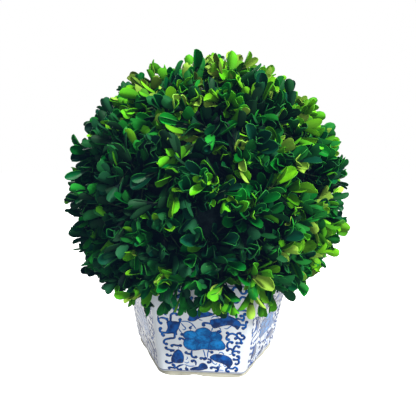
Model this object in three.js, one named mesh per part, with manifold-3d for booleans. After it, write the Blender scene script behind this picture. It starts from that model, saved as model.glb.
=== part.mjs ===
// A box topiary ball in a six-sided porcelain pot, in millimetres, +Z up.
// The origin is on the ground, under the middle of the pot, and the pot's front panel faces -Y.
// The pot's foot stands on the ground. A block of dry foam fills the pot's lower half, a short stem
// stands on the block, and the ball is seated on the pot's rim with the stem's top in its socket.
// The ball is one clipped mass: a round core with leafy sprigs that stand out of it on all sides.
import * as THREE from "three";
import { mergeVertices } from "three/addons/utils/BufferGeometryUtils.js";
import Module from "manifold-3d";

const wasm = await Module();
wasm.setup();

const GAP = 0.3; // clearance between solids that touch

// The pot: a hexagon with round corners that widens evenly from its base to its rim.
const POT = {
  sides: 6,
  footHeight: 4.2,
  rimHeight: 99,
  baseRadius: 78.8, // middle to corner, at the base of the glazed body
  flare: 0.17, // growth of that radius for each millimetre of height
  cornerRadius: 7,
  cornerSteps: 4,
  wall: 5,
  floor: 7,
  footInset: 1,
  footCornerRadius: 16,
  footWall: 9,
  footRecess: 5, // how deep the underside is hollowed inside the foot
  archHeight: 1.7,
  archLength: 22,
  archOffset: -6.6, // from the middle of a side to the middle of its arch, seen from outside
  archSteps: 6,
};

// The foam block that fills the pot's lower half, and the stem that stands on it.
const BLOCK_TOP = 58;
const STEM = {
  top: 112,
  footRadius: 12,
  flareRadius: 8.9, // part of the way up the flare
  baseRadius: 7.5,
  tipRadius: 6,
  flareHeight: 9,
  sides: 12,
};

// The ball: its core, the seat that dips into the pot, and the sphere that the leaf tips reach.
const BALL = {
  centreHeight: 168,
  coreRadius: 115,
  seatRadius: 102,
  coreDetail: 3,
  reach: 140,
  reachSpread: 4.5, // how far a sprig falls short of the reach, or passes it
};

// A sprig: a slim three-sided twig with pairs of leaves, each pair turned a quarter from the last.
const SPRIG = {
  count: 143,
  sunk: 6, // how deep its foot is in the core
  short: 15, // how far the twig's own tip stays within the reach
  lowPair: 0.5, // where the lowest pair of leaves is on the twig
  highPair: 0.9,
  lowest: -0.62, // the steepest way down, as the height of a unit vector out of the ball
  twigRadius: 1.3,
  leafPairs: 2,
  lean: 0.2, // how far a twig may lean from the straight way out of the ball
  droop: 1.6, // how much the sprigs over the rim hang down
  droopFrom: -0.3,
  lifts: [0, 0.2, 0.4, 0.6], // a sprig that would touch the pot is lifted clear of it, or left out
  potClearance: 1.5,
};
const LEAF = {
  length: 29,
  width: 19,
  thickness: 1.3,
  widest: 0.62, // where it is widest, as a share of its length
  cup: 2.2, // how far its sides turn up
  splayLow: 1.0, // radians between the twig and the lowest pair
  splayHigh: 0.42, // and the pair at its tip
  smallest: 0.88, // the size of a leaf, as a share of a full one
  largest: 1.12,
  shortest: 9,
};

const CENTRE = new THREE.Vector3(0, 0, BALL.centreHeight);
const GOLDEN_ANGLE = Math.PI * (3 - Math.sqrt(5));
const OVERRUN = 1; // how far a cutting solid runs past the face that it opens
// The distance from the middle of a hexagon to its flat side, where its corner would be at 1.
const FLAT_SHARE = Math.cos(Math.PI / POT.sides);

// A closed geometry as a solid that can be joined and cut.
function solidOf(geometry) {
  const bare = new THREE.BufferGeometry();
  bare.setAttribute("position", geometry.getAttribute("position"));
  if (geometry.index) bare.setIndex(geometry.index);
  const merged = mergeVertices(bare, 1e-4);
  return new wasm.Manifold(
    new wasm.Mesh({
      numProp: 3,
      vertProperties: merged.attributes.position.array,
      triVerts: new Uint32Array(merged.index.array),
    }),
  );
}

function geometryOf(solid) {
  const mesh = solid.getMesh();
  const geometry = new THREE.BufferGeometry();
  geometry.setAttribute("position", new THREE.BufferAttribute(mesh.vertProperties, 3));
  geometry.setIndex(new THREE.BufferAttribute(mesh.triVerts, 1));
  geometry.computeVertexNormals();
  return geometry;
}

// The distance from the middle of the pot to its outer corner, at a height above the ground.
function potRadius(height) {
  return POT.baseRadius + POT.flare * (height - POT.footHeight);
}

// The way that a flat side of the pot faces: side 0 is the front.
function sideAngle(side) {
  return -Math.PI / 2 + (side * 2 * Math.PI) / POT.sides;
}

// A hexagon with round corners, `radius` from its middle to where the corners would be.
function hexagon(radius, rounding) {
  const shape = new THREE.Shape();
  const half = Math.PI / POT.sides;
  const arcCentre = radius - rounding / FLAT_SHARE;
  for (let side = 0; side < POT.sides; side++) {
    const angle = sideAngle(side) + half;
    const x = arcCentre * Math.cos(angle);
    const y = arcCentre * Math.sin(angle);
    shape.absarc(x, y, rounding, angle - half, angle + half, false);
  }
  shape.closePath();
  return shape;
}

// A hexagonal block between two heights that narrows to the radii given at its bottom and top.
function hexagonBlock(bottom, top, lowRadius, highRadius, rounding) {
  const geometry = new THREE.ExtrudeGeometry(hexagon(lowRadius, rounding), {
    depth: top - bottom,
    bevelEnabled: false,
    curveSegments: POT.cornerSteps,
  });
  const points = geometry.getAttribute("position");
  for (let i = 0; i < points.count; i++) {
    const up = points.getZ(i) / (top - bottom);
    const size = 1 + (highRadius / lowRadius - 1) * up;
    points.setXYZ(i, points.getX(i) * size, points.getY(i) * size, bottom + up * (top - bottom));
  }
  return solidOf(geometry);
}

// A hexagonal block that follows the pot's outside, `inset` within it.
function flaredBlock(bottom, top, inset, rounding) {
  const within = inset / FLAT_SHARE;
  return hexagonBlock(bottom, top, potRadius(bottom) - within, potRadius(top) - within, rounding);
}

// The shallow arch that is cut under one side of the foot.
function footArch(side) {
  const shape = new THREE.Shape();
  shape.moveTo(-POT.archLength / 2, -OVERRUN);
  shape.lineTo(POT.archLength / 2, -OVERRUN);
  for (let i = 0; i <= POT.archSteps; i++) {
    const along = 1 - (2 * i) / POT.archSteps;
    const height = POT.archHeight * Math.cos((along * Math.PI) / 2) ** 2;
    shape.lineTo((along * POT.archLength) / 2, height);
  }
  shape.closePath();
  const geometry = new THREE.ExtrudeGeometry(shape, { depth: POT.baseRadius, bevelEnabled: false });
  geometry.translate(POT.archOffset, 0, 0);
  geometry.rotateX(Math.PI / 2);
  geometry.rotateZ(sideAngle(side) + Math.PI / 2);
  return solidOf(geometry);
}

function potSolid() {
  const footRadius = POT.baseRadius - POT.footInset / FLAT_SHARE;
  const hollowRadius = footRadius - POT.footWall / FLAT_SHARE;
  const footTop = POT.footHeight + OVERRUN;
  const hollowRounding = POT.footCornerRadius - POT.footWall;
  let foot = hexagonBlock(0, footTop, footRadius, footRadius, POT.footCornerRadius);
  foot = foot.subtract(
    hexagonBlock(-OVERRUN, POT.footRecess, hollowRadius, hollowRadius, hollowRounding),
  );
  for (let side = 0; side < POT.sides; side++) foot = foot.subtract(footArch(side));
  const body = flaredBlock(POT.footHeight, POT.rimHeight, 0, POT.cornerRadius);
  const rounding = POT.cornerRadius - POT.wall;
  const inside = flaredBlock(POT.footHeight + POT.floor, POT.rimHeight + OVERRUN, POT.wall, rounding);
  return body.add(foot).subtract(inside);
}

function blockSolid() {
  const bottom = POT.footHeight + POT.floor + GAP;
  return flaredBlock(bottom, BLOCK_TOP, POT.wall + GAP, POT.cornerRadius - POT.wall);
}

// The stem, from its flared foot to its flat top. `clearance` grows it into its socket.
function stemSolid(clearance) {
  const bottom = BLOCK_TOP + GAP - clearance;
  const top = STEM.top + clearance;
  const profile = [
    new THREE.Vector2(0, bottom),
    new THREE.Vector2(STEM.footRadius + clearance, bottom),
    new THREE.Vector2(STEM.flareRadius + clearance, bottom + STEM.flareHeight / 2),
    new THREE.Vector2(STEM.baseRadius + clearance, bottom + STEM.flareHeight),
    new THREE.Vector2(STEM.tipRadius + clearance, top),
    new THREE.Vector2(0, top),
  ];
  const geometry = new THREE.LatheGeometry(profile, STEM.sides);
  geometry.rotateX(Math.PI / 2);
  return solidOf(geometry);
}

function between(low, high, share) {
  return low + (high - low) * share;
}

// A repeatable number from 0 to 1, for sprig `i` and purpose `k`.
function chance(i, k) {
  const wave = Math.sin(i * 12.9898 + k * 78.233 + 4.1414) * 43758.5453;
  return wave - Math.floor(wave);
}

// Directions spread evenly over the sphere by the golden angle, from the top down.
function spread(i, count) {
  const z = 1 - (2 * i + 1) / count;
  const turn = i * GOLDEN_ANGLE;
  const flat = Math.sqrt(1 - z * z);
  return new THREE.Vector3(flat * Math.cos(turn), flat * Math.sin(turn), z);
}

// Whether a point is in the pot, or nearer to it than the clearance.
function nearPot(point) {
  if (point.z > POT.rimHeight + SPRIG.potClearance) return false;
  let flat = 0;
  for (let side = 0; side < POT.sides; side++) {
    const angle = sideAngle(side);
    flat = Math.max(flat, point.x * Math.cos(angle) + point.y * Math.sin(angle));
  }
  return flat < potRadius(point.z) * FLAT_SHARE + SPRIG.potClearance;
}

// Whether a small convex solid with these corners comes near the pot, tried along each of its edges.
function touchesPot(corners) {
  const shares = [0, 0.25, 0.5, 0.75, 1];
  return corners.some((a, i) =>
    corners.slice(i).some((b) => shares.some((share) => nearPot(a.clone().lerp(b, share)))),
  );
}

// Two directions square to `along` and to each other.
function crossways(along) {
  const least = Math.abs(along.z) < Math.SQRT1_2 ? new THREE.Vector3(0, 0, 1) : new THREE.Vector3(1, 0, 0);
  const first = least.cross(along).normalize();
  return [first, new THREE.Vector3().crossVectors(along, first)];
}

// A solid of the given corner points and three-cornered faces.
function facetSolid(points, faces) {
  return new wasm.Manifold(
    new wasm.Mesh({
      numProp: 3,
      vertProperties: new Float32Array(points.flatMap((point) => point.toArray())),
      triVerts: new Uint32Array(faces.flat()),
    }),
  );
}

// A twig that tapers to a point from a three-cornered foot.
function twigSolid(foot, tip, radius) {
  const along = tip.clone().sub(foot).normalize();
  const [first, second] = crossways(along);
  const corners = [0, 1, 2].map((i) => {
    const angle = (i * 2 * Math.PI) / 3;
    const corner = foot.clone().addScaledVector(first, radius * Math.cos(angle));
    return corner.addScaledVector(second, radius * Math.sin(angle));
  });
  return facetSolid([...corners, tip], [[0, 2, 1], [0, 1, 3], [1, 2, 3], [2, 0, 3]]);
}

// The six corners of a leaf that runs from its root along `out`, with its upper side towards `face`.
function leafCorners(root, out, face, length, width) {
  const side = new THREE.Vector3().crossVectors(face, out).normalize();
  const up = new THREE.Vector3().crossVectors(out, side);
  const at = (x, y, z) =>
    root.clone().addScaledVector(out, x).addScaledVector(side, y).addScaledVector(up, z);
  const wide = LEAF.widest * length;
  return [
    at(0, 0, 0),
    at(length, 0, 0),
    at(wide, width / 2, LEAF.cup),
    at(wide, -width / 2, LEAF.cup),
    at(wide, 0, LEAF.thickness / 2),
    at(wide, 0, -LEAF.thickness / 2),
  ];
}
const LEAF_FACES = [
  [0, 4, 2],
  [0, 3, 4],
  [1, 2, 4],
  [1, 4, 3],
  [0, 2, 5],
  [0, 5, 3],
  [1, 5, 2],
  [1, 3, 5],
];

// A leaf that is shortened until its tip is within the sprig's reach, or null where it finds no room.
function leafSolid(root, out, face, size, reach) {
  for (let length = LEAF.length * size; length > LEAF.shortest; length -= 1) {
    const corners = leafCorners(root, out, face, length, LEAF.width * size);
    if (corners[1].distanceTo(CENTRE) <= reach) {
      return touchesPot(corners) ? null : facetSolid(corners, LEAF_FACES);
    }
  }
  return null;
}

// The twig of sprig `i` as its foot, its direction and its tip, or null where the pot is in its way.
function twigLine(i, reach) {
  const out = spread(i, SPRIG.count);
  if (out.z < SPRIG.lowest) return null;
  const length = reach - SPRIG.short - (BALL.coreRadius - SPRIG.sunk);
  const foot = CENTRE.clone().addScaledVector(out, BALL.coreRadius - SPRIG.sunk);
  const lean = new THREE.Vector3(chance(i, 2), chance(i, 3), chance(i, 4)).subScalar(0.5);
  const droop = SPRIG.droop * Math.max(0, SPRIG.droopFrom - out.z);
  for (const lift of SPRIG.lifts) {
    const along = out.clone().addScaledVector(lean, 2 * SPRIG.lean);
    along.z -= droop;
    along.addScaledVector(new THREE.Vector3(out.x, out.y, 0).normalize(), lift).normalize();
    const tip = foot.clone().addScaledVector(along, length);
    const outOfCore = foot.clone().addScaledVector(along, SPRIG.sunk);
    if (!touchesPot([outOfCore, tip])) return { foot, along, length, tip };
  }
  return null;
}

// One sprig's solids: its twig and the leaves that have room.
function sprigSolids(i) {
  const reach = BALL.reach + BALL.reachSpread * (2 * chance(i, 1) - 1);
  const twig = twigLine(i, reach);
  if (!twig) return [];
  const solids = [twigSolid(twig.foot, twig.tip, SPRIG.twigRadius)];
  const [first, second] = crossways(twig.along);
  const start = chance(i, 5) * Math.PI;
  for (let leaf = 0; leaf < 2 * SPRIG.leafPairs; leaf++) {
    const pair = Math.floor(leaf / 2);
    const share = pair / (SPRIG.leafPairs - 1);
    const splay = between(LEAF.splayLow, LEAF.splayHigh, share);
    const size = between(LEAF.smallest, LEAF.largest, chance(i, 6 + leaf));
    const turn = start + (pair * Math.PI) / 2 + (leaf % 2) * Math.PI;
    const rootShare = between(SPRIG.lowPair, SPRIG.highPair, share);
    const root = twig.foot.clone().addScaledVector(twig.along, twig.length * rootShare);
    const out = twig.along.clone().multiplyScalar(Math.cos(splay));
    out.addScaledVector(first, Math.sin(splay) * Math.cos(turn));
    out.addScaledVector(second, Math.sin(splay) * Math.sin(turn));
    const made = leafSolid(root, out, twig.along, size, reach);
    if (made) solids.push(made);
  }
  return solids;
}

// The core: a sphere that stops just above the rim, and a smaller one that dips into the pot.
function coreSolid() {
  const sphere = (radius) =>
    solidOf(new THREE.IcosahedronGeometry(radius, BALL.coreDetail)).translate(CENTRE.toArray());
  const shoulder = sphere(BALL.coreRadius).trimByPlane([0, 0, 1], POT.rimHeight + GAP);
  return shoulder.add(sphere(BALL.seatRadius)).subtract(stemSolid(GAP));
}

function ballSolid() {
  const pieces = [coreSolid()];
  for (let i = 0; i < SPRIG.count; i++) pieces.push(...sprigSolids(i));
  // The largest shell is the ball itself: scraps and hollows that the joining sealed are left out.
  const shells = wasm.Manifold.union(pieces).decompose();
  return shells.sort((a, b) => b.volume() - a.volume())[0];
}

const part = new THREE.Group();

function addNode(name, solid, colour, roughness) {
  const material = new THREE.MeshStandardMaterial({ color: colour, roughness, metalness: 0 });
  const mesh = new THREE.Mesh(geometryOf(solid), material);
  mesh.name = name;
  part.add(mesh);
}

addNode("pot", potSolid(), 0xe4e5e3, 0.12);
addNode("foam_block", blockSolid(), 0x4c5a3a, 0.95);
addNode("stem", stemSolid(0), 0x6b5640, 0.85);
addNode("leaf_ball", ballSolid(), 0x1f6a24, 0.5);

export default part;
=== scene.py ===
"""Dresses a box topiary ball and its six-sided porcelain pot.

The pot gets its glaze, its unglazed foot and its cobalt painting. The ball gets a mossy core, twigs and
several thousand leaves. Everything is in metres, +Z up, and the pot's front panel faces -Y.
"""
import math

import bmesh
import bpy
import numpy as np
from bpy.props import FloatProperty, FloatVectorProperty, IntProperty, PointerProperty
from mathutils import Matrix, Vector


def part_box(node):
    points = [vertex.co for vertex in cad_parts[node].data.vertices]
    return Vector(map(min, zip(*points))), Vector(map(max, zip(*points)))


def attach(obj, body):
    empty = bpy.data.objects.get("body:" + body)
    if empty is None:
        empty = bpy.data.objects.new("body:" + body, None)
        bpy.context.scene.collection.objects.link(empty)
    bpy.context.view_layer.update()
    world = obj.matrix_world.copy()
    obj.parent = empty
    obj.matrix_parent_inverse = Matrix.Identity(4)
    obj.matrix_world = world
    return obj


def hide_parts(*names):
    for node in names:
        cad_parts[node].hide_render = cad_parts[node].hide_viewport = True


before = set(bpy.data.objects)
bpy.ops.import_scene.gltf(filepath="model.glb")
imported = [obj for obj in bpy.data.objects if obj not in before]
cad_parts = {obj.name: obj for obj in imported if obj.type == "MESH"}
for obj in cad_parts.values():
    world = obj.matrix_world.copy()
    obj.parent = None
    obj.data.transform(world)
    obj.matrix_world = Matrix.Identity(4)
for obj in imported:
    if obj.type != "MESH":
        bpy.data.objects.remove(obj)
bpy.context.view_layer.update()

bl_info = {
    "name": "Box Topiary Ball",
    "version": (1, 0, 0),
    "blender": (4, 5, 0),
    "location": "View3D > Sidebar > Topiary",
    "description": "Builds a box topiary ball in a blue-and-white porcelain pot",
    "category": "Object",
}

MM = 0.001
SIDES = 6
FLAT_SHARE = math.cos(math.pi / SIDES)  # from the middle to a flat side, for a corner at 1
TINY = 1e-6
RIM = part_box("pot")[1].z
BLOCK_LOW, BLOCK_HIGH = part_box("foam_block")
STEM_LOW, STEM_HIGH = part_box("stem")


# ---------------------------------------------------------------- settings


def number_setting(name, description, default):
    return FloatProperty(name=name, description=description, default=default)


def count_setting(name, description, default):
    return IntProperty(name=name, description=description, default=default)


def length_setting(name, description, millimetres):
    return FloatProperty(name=name, description=description, default=millimetres * MM, unit="LENGTH")


def angle_setting(name, description, degrees):
    return FloatProperty(name=name, description=description, default=math.radians(degrees), subtype="ANGLE")


def colour_setting(name, description, default):
    return FloatVectorProperty(name=name, description=description, default=default, subtype="COLOR")


class TOPIARY_PG_pot(bpy.types.PropertyGroup):
    foot_height: length_setting("Foot height", "Height of the unglazed foot", 4.2)
    base_radius: length_setting("Base radius", "Middle to corner, at the base of the glaze", 78.8)
    flare: number_setting("Flare", "Growth of the radius for each unit of height", 0.17)
    corner_radius: length_setting("Corner radius", "Rounding of the six upright edges", 7)
    wall: length_setting("Wall", "Thickness of the wall", 5)
    floor: length_setting("Floor", "Thickness of the floor", 7)
    foot_inset: length_setting("Foot inset", "How far the foot stands in from the glaze", 1)
    foot_corner_radius: length_setting("Foot corner radius", "Rounding of the foot's corners", 16)
    foot_wall: length_setting("Foot wall", "Width of the band that the pot stands on", 9)
    foot_recess: length_setting("Foot recess", "How deep the underside is hollowed", 5)
    arch_height: length_setting("Arch height", "Height of the arch under each side", 1.7)
    arch_length: length_setting("Arch length", "Length of the arch under each side", 22)
    arch_offset: length_setting("Arch offset", "From a side's middle to its arch's middle", -6.6)
    porcelain: colour_setting("Porcelain", "Colour under the clear glaze", (0.71, 0.765, 0.83))
    foot_colour: colour_setting("Foot", "Colour of the bare porcelain", (0.43, 0.42, 0.34))


class TOPIARY_PG_painting(bpy.types.PropertyGroup):
    low: length_setting("Low", "Height that the drawing's heights are measured from", 6.5)
    relief: length_setting("Relief", "How proud the painting stands of the glaze", 0.06)
    wobble: length_setting("Wobble", "How far the brush strays on each panel", 0.45)
    stroke: length_setting("Stroke", "Half the width of a scroll", 1.1)
    ball: length_setting("Ball", "Radius of the ball at a scroll's end", 1.65)
    deep: colour_setting("Deep cobalt", "Where the colour pools", (0.004, 0.042, 0.210))
    middle: colour_setting("Middle cobalt", "Scrolls and leaves", (0.005, 0.118, 0.470))
    wash: colour_setting("Cobalt wash", "The petals", (0.002, 0.102, 0.350))
    petal: colour_setting("Petal", "Where the wash of a petal is thin", (0.008, 0.250, 0.680))
    line: colour_setting("Line", "Thin greyed lines at the base and the rim", (0.10, 0.12, 0.24))
    pale: colour_setting("Pale cobalt", "Tendrils and thin washes", (0.07, 0.21, 0.46))


class TOPIARY_PG_foliage(bpy.types.PropertyGroup):
    centre_height: length_setting("Centre", "Height of the ball's middle", 168)
    reach: length_setting("Reach", "From the ball's middle to the leaf tips", 142)
    reach_spread: length_setting("Reach spread", "How far a sprig passes or misses the reach", 7)
    skew: FloatVectorProperty(
        name="Skew",
        description="How much further the leaf tips reach along X, Y and Z",
        default=(-1.5 * MM, 0, -1.5 * MM),
        subtype="XYZ_LENGTH",
    )
    core_radius: length_setting("Core radius", "Radius of the mossy core", 102)
    boughs: count_setting("Boughs", "Twigs rooted in the core, over the whole sphere", 143)
    twigs: count_setting("Twigs", "Fine twigs, over the whole sphere", 1120)
    hem_twigs: count_setting("Hem twigs", "More twigs, in a ring over the pot's rim", 84)
    clump: number_setting("Clump", "How far the twigs of one bough draw together, of 1", 0.25)
    lowest: number_setting("Lowest", "Height of the steepest way down, of 1", -0.66)
    lean: number_setting("Lean", "How far a twig leans from the straight way out", 0.26)
    droop: number_setting("Droop", "How much the twigs over the rim hang down", 0.65)
    droop_from: number_setting("Droop from", "Height where the droop starts, of 1", -0.3)
    twig_short: length_setting("Twig short", "How far a twig stops short of its leaf tips", 16.5)
    hem: length_setting("Hem", "Height that few of the lowest leaves pass", 72)
    hem_slope: number_setting("Hem slope", "Fall of the hem for each unit from the middle", 0.1)
    hem_spread: length_setting("Hem spread", "How far below the hem those few hang", 9)
    leaf_length: length_setting("Leaf length", "Length of a full-grown leaf", 18.6)
    leaf_width: length_setting("Leaf width", "Width of a full-grown leaf", 8.8)
    leaf_thickness: length_setting("Leaf thickness", "Thickness of a leaf", 0.36)


class TOPIARY_PG_colours(bpy.types.PropertyGroup):
    night: colour_setting("Night", "Oldest leaves", (0.001, 0.016, 0.010))
    spruce: colour_setting("Spruce", "Blue-green leaves", (0.002, 0.044, 0.021))
    pine: colour_setting("Pine", "Deep green leaves", (0.001, 0.062, 0.015))
    bottle: colour_setting("Bottle", "Dark green leaves", (0.001, 0.096, 0.010))
    emerald: colour_setting("Emerald", "Emerald leaves", (0.003, 0.165, 0.012))
    grass: colour_setting("Grass", "Mid green leaves", (0.060, 0.30, 0.002))
    spring: colour_setting("Spring", "Young leaves", (0.12, 0.40, 0.004))
    lime: colour_setting("Lime", "Yellow-green leaves", (0.27, 0.48, 0.05))
    olive: colour_setting("Olive", "Ageing leaves", (0.09, 0.16, 0.012))
    russet: colour_setting("Russet", "Browned leaves", (0.05, 0.05, 0.018))
    # Painted shade: the core is near black, standing for the shade deep inside the ball.
    moss: colour_setting("Moss", "The ball's core", (0.003, 0.008, 0.008))
    bark: colour_setting("Bark", "The stem", (0.11, 0.075, 0.045))
    twig: colour_setting("Twig", "The twigs", (0.012, 0.032, 0.010))
    foam: colour_setting("Foam", "The block in the pot", (0.05, 0.085, 0.025))


class TOPIARY_PG_stage(bpy.types.PropertyGroup):
    distance: length_setting("Distance", "Camera to the point that it looks at", 355.5)
    look_height: length_setting("Look height", "Height of that point, on the pot's axis", 152.8)
    down: angle_setting("Down", "How far the camera looks down", 7)
    round: angle_setting("Round", "Camera's turn from the front panel", 2.2)
    roll: angle_setting("Roll", "Camera's roll", 1.2)
    sky: number_setting("Sky", "Strength of the light from all round", 0.17)
    key: number_setting("Key", "Power of the light from the upper right, in watts", 33.0)
    fill: number_setting("Fill", "Power of the light from the front, in watts", 6.5)
    floor_glow: number_setting("Floor glow", "Strength of the floor's own light", 0.24)
    gloss_front: number_setting("Gloss in front", "Floor that gloss sees before the pot", 0.1)
    gloss_side: number_setting("Gloss beside", "Floor that gloss sees beside the pot", 0.9)
    shadow: colour_setting("Shadow", "The darkest tone of the picture", (0.0018, 0.0038, 0.0088))
    lens: number_setting("Lens", "Focal length in millimetres, on a 36 mm sensor", 28.04)


# ---------------------------------------------------------------- modelling helpers


def deselect():
    bpy.ops.object.select_all(action="DESELECT")


def begin(name):
    """Names the primitive that was just added, and applies its place."""
    piece = bpy.context.object
    piece.name = name
    piece.data.name = name
    bpy.ops.object.transform_apply(location=True, rotation=True, scale=True)
    return piece


def edit(piece):
    bpy.context.view_layer.objects.active = piece
    bpy.ops.object.mode_set(mode="EDIT")


def pick(kind, test):
    """In edit mode, selects only the vertices, edges or faces (kind) that pass the test."""
    bpy.ops.mesh.select_mode(type=kind)
    bpy.ops.mesh.select_all(action="DESELECT")
    mesh = bmesh.from_edit_mesh(bpy.context.object.data)
    items = {"VERT": mesh.verts, "EDGE": mesh.edges, "FACE": mesh.faces}[kind]
    for item in items:
        if test(item):
            item.select_set(True)
    mesh.select_flush_mode()
    bmesh.update_edit_mesh(bpy.context.object.data)


def leave_edit(angle=None):
    """Back to object mode; given an angle, smooth-shaded with edges sharper than the angle kept."""
    bpy.ops.object.mode_set(mode="OBJECT")
    if angle is not None:
        bpy.ops.object.shade_smooth_by_angle(angle=math.radians(angle))


def apply_modifier(piece, kind, **settings):
    modifier = piece.modifiers.new(kind.title(), kind)
    for key, value in settings.items():
        setattr(modifier, key, value)
    bpy.context.view_layer.objects.active = piece
    bpy.ops.object.modifier_apply(modifier=modifier.name)


def clouds(name, size, depth=3):
    """A cloud texture for a Displace modifier."""
    texture = bpy.data.textures.new(name, "CLOUDS")
    texture.noise_scale = size
    texture.noise_depth = depth
    return texture


def finish(piece, slot, *nodes):
    """Hands a finished piece to the frame: its body and the solids that it stands for, which are hidden. Its
    finish, the slot, is not used.
    """
    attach(piece, "root")
    if nodes:
        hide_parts(*nodes)
    deselect()


# A mesh's numbers: {layer: (which of its items, what is read of them, how many for each, kind)}.
LAYERS = {
    "co": ("vertices", "co", 3, float),
    "edges": ("edges", "vertices", 2, np.int32),
    "corner_vertex": ("loops", "vertex_index", 1, np.int32),
    "corner_edge": ("loops", "edge_index", 1, np.int32),
    "starts": ("polygons", "loop_start", 1, np.int32),
    "slots": ("polygons", "material_index", 1, np.int32),
    "sharp": ("edges", "use_edge_sharp", 1, bool),
}
# The layers that number other items of the mesh, and which items those are.
COUNTED = {"edges": "vertices", "corner_vertex": "vertices", "corner_edge": "edges", "starts": "loops"}


def read_layer(items, key, width, kind):
    values = np.empty(len(items) * width, kind)
    items.foreach_get(key, values)
    return values.reshape(-1, width) if width > 1 else values


def mesh_numbers(mesh):
    """The places and the make-up of a mesh as arrays."""
    numbers = {layer: read_layer(getattr(mesh, items), *rest) for layer, (items, *rest) in LAYERS.items()}
    corners = len(numbers["corner_vertex"])
    flat_uv = np.zeros((corners, 2))
    numbers["uv"] = read_layer(mesh.uv_layers[0].data, "uv", 2, float) if mesh.uv_layers else flat_uv
    return numbers


def joined_copies(name, batches, attributes=None):
    """One object of many copies: each batch is (numbers of a model mesh, points of its copies).

    attributes holds, for each name, one list of values for each batch, a value for each point.
    """
    parts = {layer: [] for layer in (*LAYERS, "uv")}
    before = {"vertices": 0, "edges": 0, "loops": 0}
    for numbers, points in batches:
        count = len(points)
        copies = np.arange(count)[:, None]
        each = {
            "vertices": points.shape[1],
            "edges": len(numbers["edges"]),
            "loops": len(numbers["corner_vertex"]),
        }
        parts["co"].append(points.ravel())
        for layer, items in COUNTED.items():
            shifted = numbers[layer].reshape(1, -1) + before[items] + copies * each[items]
            parts[layer].append(shifted.ravel())
        for layer in ("sharp", "slots", "uv"):
            parts[layer].append(np.tile(numbers[layer].ravel(), count))
        for items in before:
            before[items] += count * each[items]
    parts = {layer: np.concatenate(values) for layer, values in parts.items()}
    mesh = bpy.data.meshes.new(name)
    for layer in ("co", "edges", "corner_vertex", "starts"):
        items, _, width, _ = LAYERS[layer]
        getattr(mesh, items).add(len(parts[layer]) // width)
    for layer, (items, key, _, _) in LAYERS.items():
        getattr(mesh, items).foreach_set(key, parts[layer])
    mesh.uv_layers.new(name="UVMap").data.foreach_set("uv", parts["uv"])
    for key, values in (attributes or {}).items():
        layer = mesh.attributes.new(key, "FLOAT", "POINT")
        layer.data.foreach_set("value", np.concatenate([np.ravel(v) for v in values]).astype(np.float32))
    mesh.update()
    piece = bpy.data.objects.new(name, mesh)
    bpy.context.scene.collection.objects.link(piece)
    return piece


def between(low, high, share):
    return low + (high - low) * share


def unit(vectors):
    return vectors / np.linalg.norm(vectors, axis=-1, keepdims=True)


def crossways(along):
    """Two directions square to each of the directions given, and to each other."""
    upright = np.array([0.0, 0.0, 1.0])
    level = np.array([1.0, 0.0, 0.0])
    least = np.where(np.abs(along[..., 2:]) < math.sqrt(0.5), upright, level)
    first = unit(np.cross(least, along))
    return first, np.cross(along, first)


# ---------------------------------------------------------------- material helpers


class Board:
    """Adds and links the nodes of one node tree."""

    def __init__(self, tree):
        self.tree = tree

    def link(self, source, target):
        self.tree.links.new(source, target)

    def ramp(self, value, start, end, low, high):
        """A value that goes from low to high while the value given goes from start to end."""
        inputs = {"Value": value, "From Min": start, "From Max": end, "To Min": low, "To Max": high}
        return self.add("ShaderNodeMapRange", inputs).outputs["Result"]

    def combine(self, kind, one, other, **settings):
        """Two values added, multiplied and so on."""
        return self.add("ShaderNodeMath", {0: one, 1: other}, operation=kind, **settings).outputs[0]

    def choose(self, factor, low, high):
        """A value between two, by a factor."""
        return self.add("ShaderNodeMix", {0: factor, 2: low, 3: high}, data_type="FLOAT").outputs[0]

    def add(self, kind, inputs=None, **settings):
        node = self.tree.nodes.new(kind)
        for key, value in settings.items():
            setattr(node, key, value)
        for socket, value in (inputs or {}).items():
            if isinstance(value, bpy.types.NodeSocket):
                self.link(value, node.inputs[socket])
            else:
                node.inputs[socket].default_value = value
        return node


def new_group(name, inputs, outputs):
    """A shader node group: inputs and outputs are {socket name: (socket kind, default)}."""
    tree = bpy.data.node_groups.new(name, "ShaderNodeTree")
    for in_out, sockets in (("INPUT", inputs), ("OUTPUT", outputs)):
        for socket, (kind, default) in sockets.items():
            made = tree.interface.new_socket(name=socket, in_out=in_out, socket_type="NodeSocket" + kind)
            if default is not None:
                made.default_value = default
    board = Board(tree)
    return board, board.add("NodeGroupInput").outputs, board.add("NodeGroupOutput")


NOISE_RANGE = (0.32, 0.68)  # where most of a noise texture's values lie


def group_mottling():
    """Soft patches: a value that drifts between Low and High over the surface."""
    board, given, out = new_group(
        "Mottling",
        {"Vector": ("Vector", None), "Scale": ("Float", 50.0), "Low": ("Float", 0.0), "High": ("Float", 1.0)},
        {"Factor": ("Float", None)},
    )
    noise = {"Vector": given["Vector"], "Scale": given["Scale"], "Detail": 4.0}
    noise = board.add("ShaderNodeTexNoise", noise)
    spread_out = board.ramp(noise.outputs["Fac"], *NOISE_RANGE, given["Low"], given["High"])
    board.link(spread_out, out.inputs["Factor"])
    return board.tree


def group_grain():
    """Fine relief as a height: broad swells with a finer grain on them."""
    board, given, out = new_group(
        "Grain",
        {"Vector": ("Vector", None), "Scale": ("Float", 400.0), "Swell": ("Float", 0.5)},
        {"Height": ("Float", None)},
    )
    place = given["Vector"]
    fine = {"Vector": place, "Scale": given["Scale"], "Detail": 6.0, "Roughness": 0.6}
    fine = board.add("ShaderNodeTexNoise", fine)
    slow = board.combine("MULTIPLY", given["Scale"], 0.12)
    broad = board.add("ShaderNodeTexNoise", {"Vector": place, "Scale": slow, "Detail": 2.0})
    mixed = board.choose(given["Swell"], fine.outputs["Fac"], broad.outputs["Fac"])
    board.link(mixed, out.inputs["Height"])
    return board.tree


def shared_group(name, maker):
    return bpy.data.node_groups.get(name) or maker()


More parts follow.
